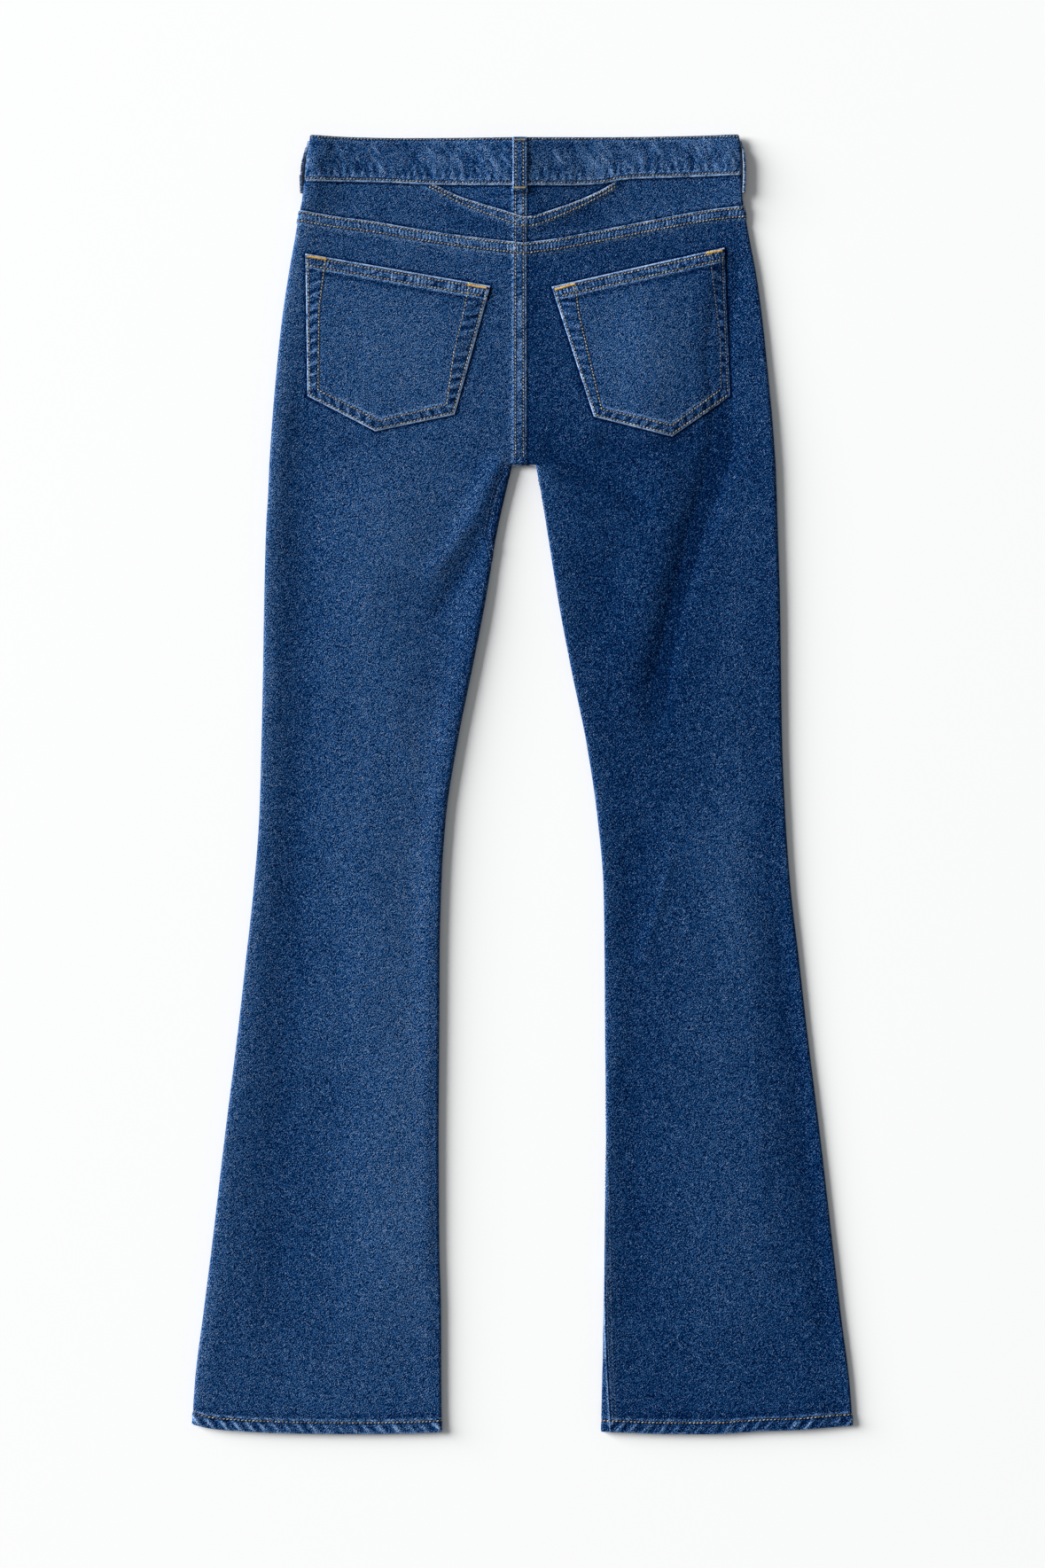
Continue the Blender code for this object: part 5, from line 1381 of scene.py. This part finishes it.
def bartack(group, start, end, wide, face, seed, dyes=GOLD, pitch=0.45):
    """A dense bar of satin stitches from start to end; face(x, y) is the height it is sewn on."""
    (x1, y1), (x2, y2) = start, end
    size = math.hypot(x2 - x1, y2 - y1)
    ux, uy = (x2 - x1) / size, (y2 - y1) / size
    k = int(size / pitch)
    rng = np.random.default_rng(seed)
    s = pitch * (np.arange(k) + 0.5) + rng.normal(0, 0.03, k)
    half = wide / 2 * (0.94 + 0.12 * rng.random(k))

    def point(along, over, up):
        x, y = x1 + ux * along - uy * over, y1 + uy * along + ux * over
        return np.stack([x, y, face(x, y) + up], axis=1)

    n = np.tile([0.0, 0.0, 1.0], (k, 1))
    strands(group, point(s - 0.22, -half, 0.1), point(s, 0 * half, 0.42), point(s + 0.22, half, 0.1), n, 0.29, dyes, seed + 1, 0.5, 0.1)


def seat_only(e):
    return e["kind"] == "seat" and e["y"] > CROTCH_Y + 5


for side, word in ((LEFT, "left"), (RIGHT, "right")):
    c = LINES["back_leg_" + word]
    sew("back_leg_" + word, row_line(c, "d_hem", 9.9), HEMMED, 201 + side, 3.2, 2.1, 0.38)
    sew("back_leg_" + word, row_line(c, "d_yoke", YOKE_ROWS_AT[0]), TAN, 205 + side)
    sew("back_leg_" + word, row_line(c, "d_yoke", YOKE_ROWS_AT[1]), TAN, 209 + side)
    for k, d in enumerate((1.9, 5.4)):
        line = column_line(c, "d_in", d, lambda e: e["kind"] == "leg" and 11 < e["y"] < 832)
        sew("back_leg_" + word, line, BLUED, 213 + side + 4 * k, 3.2, 2.1, 0.3)
    c = LINES["front_leg_" + word]
    sew("front_leg_" + word, row_line(c, "d_hem", 9.9), RUST, 221 + side, 3.2)
    c = LINES["back_yoke_" + word]
    sew("back_yoke_" + word, row_line(c, "d_vee", 1.7), TAN, 225 + side, 2.9)
    sew("back_yoke_" + word, row_line(c, "d_vee2", 0.0), TAN, 229 + side, 2.9)
    c = LINES["belt_loop_side_" + word]
    for k, key in enumerate(("d0", "d1")):
        sew("belt_loop_side_" + word, column_line(c, key, 3.0), RUST, 233 + side + 4 * k, 3.0)

for k, d in enumerate(CB_ROWS):
    sew("back_leg_left", column_line(LINES["back_leg_left"], "d_cb", d, seat_only), GREYED, 241 + k)
    sew("back_yoke_left", column_line(LINES["back_yoke_left"], "d_cb", d), GREYED, 244 + k)
    sew("yoke_insert_left", column_line(LINES["yoke_insert_left"], "d_cb", d), GREYED, 247 + k)

# the fly's curved rows on the left front
for k, X in enumerate((33.0, 39.0)):
    y = np.concatenate([np.linspace(1068.0, 975.0, 60), 975.0 - 38.0 * np.sin(np.linspace(0, 1, 40)[1:] * math.pi / 2) - k * 4 * np.linspace(0, 1, 40)[1:]])
    x = np.concatenate([np.full(60, X), 2.0 + (X - 2.0) * np.cos(np.linspace(0, 1, 40)[1:] * math.pi / 2)])
    p = np.stack([-x, y, side_lift(LEFT, x, y)], axis=1)
    sew("front_leg_left", (p, np.tile([0.0, 0.0, -1.0], (len(p), 1))), TAN, 251 + k)

c = LINES["waistband"]
sew("waistband", row_line(c, "d_low", 2.5), GREYED, 255)
sew("waistband", row_line(c, "d_high", 1.4), GREYED, 257)


def pocket_face(side):
    def face(x, y):
        z = pocket_relief(side, x, y)[0]
        return pocket_ground(side, x, y) + z
    return face


def face_line(points, face, step=0.8):
    """A line over a surface through some corners."""
    pts = np.array(points, float)
    s = np.concatenate([[0], np.cumsum(np.linalg.norm(np.diff(pts, axis=0), axis=1))])
    at = np.linspace(0, s[-1], max(3, int(s[-1] / step)))
    x, y = np.interp(at, s, pts[:, 0]), np.interp(at, s, pts[:, 1])
    p = np.stack([x, y, face(x, y)], axis=1)
    n = np.tile([0.0, 0.0, 1.0], (len(x), 1))
    return p, n


def inset(corners, d):
    """Corners of an open line moved to its inner side by d; both ends stay on their own segment's direction."""
    pts = [np.array(q, float) for q in corners]
    lines = []
    for p, q in zip(pts, pts[1:]):
        u = (q - p) / np.linalg.norm(q - p)
        lines.append((p + np.array([-u[1], u[0]]) * d, u))
    out = [lines[0][0]]
    for (p, u), (q, w) in zip(lines, lines[1:]):
        det = u[0] * w[1] - u[1] * w[0]
        t = ((q - p)[0] * w[1] - (q - p)[1] * w[0]) / det
        out.append(p + u * t)
    p, u = lines[-1]
    out.append(p + u * np.linalg.norm(pts[-1] - pts[-2]))
    return out


for side, word in ((LEFT, "left"), (RIGHT, "right")):
    group, face = "back_pocket_" + word, pocket_face(side)
    edge = POCKET_EDGE[side]
    turn = 1 if side == LEFT else -1
    row, inner_row = inset(edge, EDGE_ROW * turn), POCKET_INNER[side]
    # the outer side of the right pocket lies in the hip valley's shade, and its threads are painted dark for it
    split = 1 if side == RIGHT else 0
    if split:
        sew(group, face_line(row[:2], face), THREAD_IN_SHADE, 301, 2.95, cut=(2.0, 0.0))
        sew(group, face_line(inner_row[:4], face), THREAD_IN_SHADE, 303, 2.95)
    sew(group, face_line(row[split:], face), TAN, 261 + side, 2.95, cut=(2.0 * (1 - split), 2.0))
    sew(group, face_line(inner_row[3 * split:], face), TAN, 265 + side, 2.95)
    mouth = [np.array(edge[0], float), np.array(edge[-1], float)]
    u = (mouth[1] - mouth[0]) / np.linalg.norm(mouth[1] - mouth[0])
    down = np.array([u[1], -u[0]])
    down = down if down[1] < 0 else -down
    for k, d in enumerate(MOUTH_ROWS):
        a = mouth[0] + down * d + u * (1.5 + 0.1 * d)
        b = mouth[1] + down * d - u * (1.5 + 0.28 * d)
        sew(group, face_line([a, b], face), TAN, 271 + side + 4 * k, 2.95)
bartack("back_pocket_left", (-186.4, 1021.4), (-169.8, 1018.9), 2.3, pocket_face(LEFT), 281)
bartack("back_pocket_left", (-47.6, 997.0), (-31.0, 994.2), 2.3, pocket_face(LEFT), 283)
bartack("back_pocket_right", (28.0, 992.6), (45.6, 997.6), 2.3, pocket_face(RIGHT), 285)
bartack("back_pocket_right", (159.0, 1024.2), (173.4, 1026.6), 2.3, pocket_face(RIGHT), 287)

c = LINES["belt_loop_back"]
for k, value in enumerate((-3.2, 3.2)):
    sew("belt_loop_back", column_line(c, "off", value), TAN, 291 + k, 3.0, cut=(5.0, 2.0))
loop_y = np.array([q[8][1] for q in c.p])
loop_z = np.array([q[8][2] for q in c.p])
bartack("belt_loop_back", (-7.4, 1080.0), (2.9, 1080.0), 2.2, lambda x, y: np.interp(y, loop_y, loop_z), 295, TAN)
bartack("belt_loop_back", (-7.2, 1121.4), (2.6, 1121.4), 2.0, lambda x, y: np.interp(y, loop_y, loop_z), 297, GREYED)


def thread_objects():
    made = {}
    for group, parts in THREADS.items():
        co, faces4, faces3, dye, strand, count = [], [], [], [], [], 0
        for pts, quads, tris, d, s in parts:
            k = len(pts)
            base = count + 32 * np.arange(k)
            co.append(pts.reshape(-1, 3))
            faces4.append((quads[None] + base[:, None, None]).reshape(-1, 4))
            faces3.append((tris[None] + base[:, None, None]).reshape(-1, 3))
            dye.append(d.reshape(-1, 3))
            strand.append(s.reshape(-1, 3))
            count += 32 * k
        ob = new_mesh("stitches_" + group, np.concatenate(co), [np.concatenate(faces4), np.concatenate(faces3)], None,
                      [("dye", np.concatenate(dye)), ("strand", np.concatenate(strand))], smooth=0)
        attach(ob, "root")
        made[group] = ob
    return made


STITCHES = thread_objects()


# ------------------------------------------------------------------ materials
LIGHT_ON = 1.14   # the colours below are as seen under light this much stronger than would just show white as white


def link(tree, a, b):
    tree.links.new(a, b)


def new_material(name):
    mat = bpy.data.materials.new(name)
    mat.use_nodes = True
    tree = mat.node_tree
    tree.nodes.clear()
    out = tree.nodes.new("ShaderNodeOutputMaterial")
    shader = tree.nodes.new("ShaderNodeBsdfPrincipled")
    link(tree, shader.outputs["BSDF"], out.inputs["Surface"])
    return mat, tree, shader


def attribute(tree, name):
    n = tree.nodes.new("ShaderNodeAttribute")
    n.attribute_type = "GEOMETRY"
    n.attribute_name = name
    return n


def math_node(tree, operation, a, b=None, c=None):
    n = tree.nodes.new("ShaderNodeMath")
    n.operation = operation
    for k, value in enumerate((a, b, c)):
        if value is None:
            continue
        if isinstance(value, (int, float)):
            n.inputs[k].default_value = value
        else:
            link(tree, value, n.inputs[k])
    return n.outputs[0]


def scaled(tree, vector, scale):
    n = tree.nodes.new("ShaderNodeVectorMath")
    n.operation = "MULTIPLY"
    link(tree, vector, n.inputs[0])
    n.inputs[1].default_value = scale
    return n.outputs[0]


def noise_node(tree, vector, scale, detail=0.0, rough=0.5, distortion=0.0):
    n = tree.nodes.new("ShaderNodeTexNoise")
    n.noise_dimensions = "3D"
    link(tree, vector, n.inputs["Vector"])
    n.inputs["Scale"].default_value = scale
    n.inputs["Detail"].default_value = detail
    n.inputs["Roughness"].default_value = rough
    n.inputs["Distortion"].default_value = distortion
    return math_node(tree, "SUBTRACT", n.outputs[0], 0.5)


DENIM_RAMP = [(-40, 0, 16, 53), (-20, 0, 38, 81), (0, 11, 60, 107), (25, 43, 91, 146), (50, 76, 119, 174), (90, 128, 162, 207), (130, 172, 196, 228)]
YARN = 0.6          # width of one warp yarn, mm
FLOAT_LONG = 0.75   # length of a float of the twill
TWILL_STEP = 0.22
FLOAT_GAIN = 180.0
NEIGHBOURS = 0.8    # how much of the neighbours' mean is taken off a float's tone
YARN_GAIN = 24.0
YARN_SCALE = 0.9
SLUB_GAIN = 27.0
MOTTLE_GAIN = 12.0
DYE_SHIFT = -39.5


def denim_material(name):
    mat, tree, shader = new_material(name)
    cloth = attribute(tree, "cloth").outputs["Vector"]
    wear = tree.nodes.new("ShaderNodeSeparateXYZ")
    link(tree, attribute(tree, "wear").outputs["Vector"], wear.inputs[0])
    place = tree.nodes.new("ShaderNodeSeparateXYZ")
    link(tree, cloth, place.inputs[0])

    # the warp's floats, one cell each, stepped down from column to column as twill is
    wobble = noise_node(tree, cloth, 0.35, 1.0, 0.6)
    across = math_node(tree, "MULTIPLY", math_node(tree, "MULTIPLY_ADD", wobble, 0.6, place.outputs[0]), 1 / YARN)
    column = math_node(tree, "FLOOR", across)
    along = math_node(tree, "MULTIPLY", math_node(tree, "ADD", place.outputs[1], math_node(tree, "MULTIPLY_ADD", column, TWILL_STEP, math_node(tree, "MULTIPLY", wobble, 1.7))), 1 / FLOAT_LONG)
    row = math_node(tree, "FLOOR", along)

    def float_at(right, up):
        cell = tree.nodes.new("ShaderNodeCombineXYZ")
        link(tree, math_node(tree, "ADD", column, float(right)), cell.inputs[0])
        link(tree, math_node(tree, "ADD", row, float(up)), cell.inputs[1])
        hashed = tree.nodes.new("ShaderNodeTexWhiteNoise")
        hashed.noise_dimensions = "2D"
        link(tree, cell.outputs[0], hashed.inputs["Vector"])
        return hashed.outputs["Value"]

    # a float that lies high leaves its neighbours low, so light and dark alternate finely
    near = math_node(tree, "ADD", math_node(tree, "ADD", float_at(1, 0), float_at(-1, 0)), math_node(tree, "ADD", float_at(0, 1), float_at(0, -1)))
    float_tone = math_node(tree, "SUBTRACT", float_at(0, 0), math_node(tree, "MULTIPLY_ADD", near, NEIGHBOURS / 4, 0.5 - NEIGHBOURS / 2))
    # each float rounded, lighter in its middle and darker at its edges: painted shade between the yarns, which is also
    # the bump's height
    fu, fr = math_node(tree, "FRACT", across), math_node(tree, "FRACT", along)
    round_u = math_node(tree, "MULTIPLY", math_node(tree, "MULTIPLY", fu, math_node(tree, "SUBTRACT", 1.0, fu)), 4.0)
    round_r = math_node(tree, "MULTIPLY", math_node(tree, "MULTIPLY", fr, math_node(tree, "SUBTRACT", 1.0, fr)), 4.0)
    weave = math_node(tree, "MULTIPLY", math_node(tree, "POWER", round_u, 0.5), math_node(tree, "POWER", round_r, 0.35))
    yarn = noise_node(tree, cloth, YARN_SCALE, 1.0, 0.8)
    slub = noise_node(tree, scaled(tree, cloth, (1.3, 0.2, 1.0)), 1.0, 1.0, 0.6)
    mottle = noise_node(tree, cloth, 0.13, 2.0, 0.6)

    grain_sum = math_node(tree, "MULTIPLY", float_tone, FLOAT_GAIN)
    grain_sum = math_node(tree, "MULTIPLY_ADD", yarn, YARN_GAIN, grain_sum)
    grain_sum = math_node(tree, "MULTIPLY_ADD", slub, SLUB_GAIN, grain_sum)
    grain_sum = math_node(tree, "MULTIPLY_ADD", weave, 22.0, grain_sum)
    grain_sum = math_node(tree, "MULTIPLY_ADD", mottle, MOTTLE_GAIN, grain_sum)
    # the piece's tone, worn dye with painted light and shade, plus the grain
    total = math_node(tree, "ADD", wear.outputs[0], grain_sum)
    share = math_node(tree, "MULTIPLY_ADD", total, 1 / 170.0, (40 + DYE_SHIFT) / 170.0)
    ramp = tree.nodes.new("ShaderNodeValToRGB")
    link(tree, share, ramp.inputs[0])
    stops = ramp.color_ramp.elements
    while len(stops) < len(DENIM_RAMP):
        stops.new(0.5)
    for stop, (t, r, g, b) in zip(stops, DENIM_RAMP):
        stop.position = (t + 40) / 170.0
        stop.color = tuple(c / LIGHT_ON for c in srgb(r, g, b)) + (1.0,)
    inner = math_node(tree, "GREATER_THAN", place.outputs[2], 4.5)
    mix = tree.nodes.new("ShaderNodeMix")
    mix.data_type = "RGBA"
    link(tree, inner, mix.inputs[0])
    link(tree, ramp.outputs[0], mix.inputs[6])
    pale = tree.nodes.new("ShaderNodeMix")
    pale.data_type = "RGBA"
    link(tree, math_node(tree, "MULTIPLY_ADD", float_tone, 0.8, 0.5), pale.inputs[0])
    pale.inputs[6].default_value = (0.13, 0.19, 0.30, 1)
    pale.inputs[7].default_value = (0.38, 0.44, 0.52, 1)
    link(tree, pale.outputs[2], mix.inputs[7])
    link(tree, mix.outputs[2], shader.inputs["Base Color"])
    shader.inputs["Roughness"].default_value = 0.9
    shader.inputs["Specular IOR Level"].default_value = 0.02
    shader.inputs["Sheen Weight"].default_value = 0.01
    shader.inputs["Sheen Roughness"].default_value = 0.5
    shader.inputs["Sheen Tint"].default_value = (0.62, 0.72, 0.9, 1)
    bump = tree.nodes.new("ShaderNodeBump")
    bump.inputs["Strength"].default_value = 0.5
    bump.inputs["Distance"].default_value = 0.00012
    relief = math_node(tree, "MULTIPLY_ADD", float_tone, 0.5, math_node(tree, "ADD", weave, yarn))
    link(tree, relief, bump.inputs["Height"])
    link(tree, bump.outputs[0], shader.inputs["Normal"])
    return mat


def thread_material(name):
    mat, tree, shader = new_material(name)
    dye = attribute(tree, "dye").outputs["Vector"]
    strand = attribute(tree, "strand").outputs["Vector"]
    parts = tree.nodes.new("ShaderNodeSeparateXYZ")
    link(tree, strand, parts.inputs[0])
    ply = math_node(tree, "SINE", math_node(tree, "MULTIPLY", math_node(tree, "MULTIPLY_ADD", parts.outputs[0], 0.85, math_node(tree, "MULTIPLY", parts.outputs[1], 2.0)), 2 * math.pi))
    lint = noise_node(tree, strand, 2.6, 2.0, 0.6)
    shade = math_node(tree, "MULTIPLY_ADD", ply, 0.1, math_node(tree, "MULTIPLY_ADD", lint, 0.7, 1.0 / LIGHT_ON))
    tint = tree.nodes.new("ShaderNodeVectorMath")
    tint.operation = "SCALE"
    link(tree, dye, tint.inputs[0])
    link(tree, shade, tint.inputs[3])
    link(tree, tint.outputs[0], shader.inputs["Base Color"])
    shader.inputs["Roughness"].default_value = 0.6
    shader.inputs["Specular IOR Level"].default_value = 0.35
    shader.inputs["Sheen Weight"].default_value = 0.1
    bump = tree.nodes.new("ShaderNodeBump")
    bump.inputs["Strength"].default_value = 0.6
    bump.inputs["Distance"].default_value = 0.0001
    link(tree, ply, bump.inputs["Height"])
    link(tree, bump.outputs[0], shader.inputs["Normal"])
    return mat


def metal_material(name):
    mat, tree, shader = new_material(name)
    coords = tree.nodes.new("ShaderNodeTexCoord")
    tarnish = noise_node(tree, coords.outputs["Object"], 420.0, 4.0, 0.6)
    mix = tree.nodes.new("ShaderNodeMix")
    mix.data_type = "RGBA"
    link(tree, math_node(tree, "MULTIPLY_ADD", tarnish, 1.8, 0.5), mix.inputs[0])
    mix.inputs[6].default_value = (0.20, 0.115, 0.06, 1)
    mix.inputs[7].default_value = (0.56, 0.37, 0.22, 1)
    link(tree, mix.outputs[2], shader.inputs["Base Color"])
    shader.inputs["Metallic"].default_value = 1.0
    link(tree, math_node(tree, "MULTIPLY_ADD", tarnish, 0.5, 0.36), shader.inputs["Roughness"])
    bump = tree.nodes.new("ShaderNodeBump")
    bump.inputs["Strength"].default_value = 0.25
    bump.inputs["Distance"].default_value = 0.0001
    link(tree, tarnish, bump.inputs["Height"])
    link(tree, bump.outputs[0], shader.inputs["Normal"])
    return mat


def wear_material(ob, mat):
    ob.data.materials.clear()
    ob.data.materials.append(mat)


DENIM_MAT = denim_material("denim_indigo")
THREAD_MAT = thread_material("thread_tan")
METAL_MAT = metal_material("button_copper")
for ob in PIECES.values():
    wear_material(ob, DENIM_MAT)
for ob in STITCHES.values():
    wear_material(ob, THREAD_MAT)
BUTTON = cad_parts["waist_button"]
wear_material(BUTTON, METAL_MAT)


# ------------------------------------------------------------------ surface, lights and camera
def floor():
    mesh = bpy.data.meshes.new("floor")
    half = 4.0
    mesh.from_pydata([(-half, -half, -0.0006), (half, -half, -0.0006), (half, half, -0.0006), (-half, half, -0.0006)], [], [(0, 1, 2, 3)])
    ob = bpy.data.objects.new("floor", mesh)
    bpy.context.scene.collection.objects.link(ob)
    mat, tree, shader = new_material("paper")
    shader.inputs["Base Color"].default_value = (0.925, 0.92, 0.905, 1)
    shader.inputs["Roughness"].default_value = 1.0
    shader.inputs["Specular IOR Level"].default_value = 0.0
    ob.data.materials.append(mat)
    return ob


FLOOR = floor()

LAMP_TURN = math.atan2(0.34, -0.94)
LAMP_HIGH = math.radians(21.0)
LAMP_FAR = 60.0
LAMP_SIZE = 35.4
LAMP_WATT = 90900.0
WORLD_FILL = 0.25


def lamp():
    light = bpy.data.lights.new("window", "AREA")
    light.shape = "SQUARE"
    light.size = LAMP_SIZE
    light.energy = LAMP_WATT
    light.color = (0.985, 0.99, 1.0)
    ob = bpy.data.objects.new("window", light)
    where = Vector((math.cos(LAMP_TURN) * math.cos(LAMP_HIGH), math.sin(LAMP_TURN) * math.cos(LAMP_HIGH), math.sin(LAMP_HIGH))) * LAMP_FAR
    ob.location = where
    ob.rotation_euler = (-where).to_track_quat("-Z", "Y").to_euler()
    bpy.context.scene.collection.objects.link(ob)
    return ob


lamp()

world = bpy.data.worlds.new("studio")
bpy.context.scene.world = world
world.use_nodes = True
wt = world.node_tree
wt.nodes.clear()
w_out = wt.nodes.new("ShaderNodeOutputWorld")
w_fill, w_seen = wt.nodes.new("ShaderNodeBackground"), wt.nodes.new("ShaderNodeBackground")
w_fill.inputs["Color"].default_value = (0.93, 0.97, 1.0, 1)
w_fill.inputs["Strength"].default_value = WORLD_FILL
w_seen.inputs["Color"].default_value = (1, 1, 1, 1)
w_seen.inputs["Strength"].default_value = 1.0
w_path, w_mix = wt.nodes.new("ShaderNodeLightPath"), wt.nodes.new("ShaderNodeMixShader")
link(wt, w_path.outputs["Is Camera Ray"], w_mix.inputs[0])
link(wt, w_fill.outputs[0], w_mix.inputs[1])
link(wt, w_seen.outputs[0], w_mix.inputs[2])
link(wt, w_mix.outputs[0], w_out.inputs[0])

scene = bpy.context.scene
scene.view_settings.view_transform = "Standard"
camera = bpy.data.cameras.new("camera")
camera.lens = 85.0
camera.sensor_width = 36.0
camera.sensor_fit = "AUTO"
camera.clip_start, camera.clip_end = 0.1, 20.0
cam = bpy.data.objects.new("camera", camera)
cam.location = (0.0, 0.0003, 3.216)
cam.rotation_euler = (0.0, 0.0, 0.0)
scene.collection.objects.link(cam)
scene.camera = cam

bpy.context.view_layer.update()
total = 0
for ob in list(PIECES.values()) + list(STITCHES.values()):
    k = sum(len(p.vertices) - 2 for p in ob.data.polygons)
    total += k
    if k > 20000:
        print("TRIS", ob.name, k)
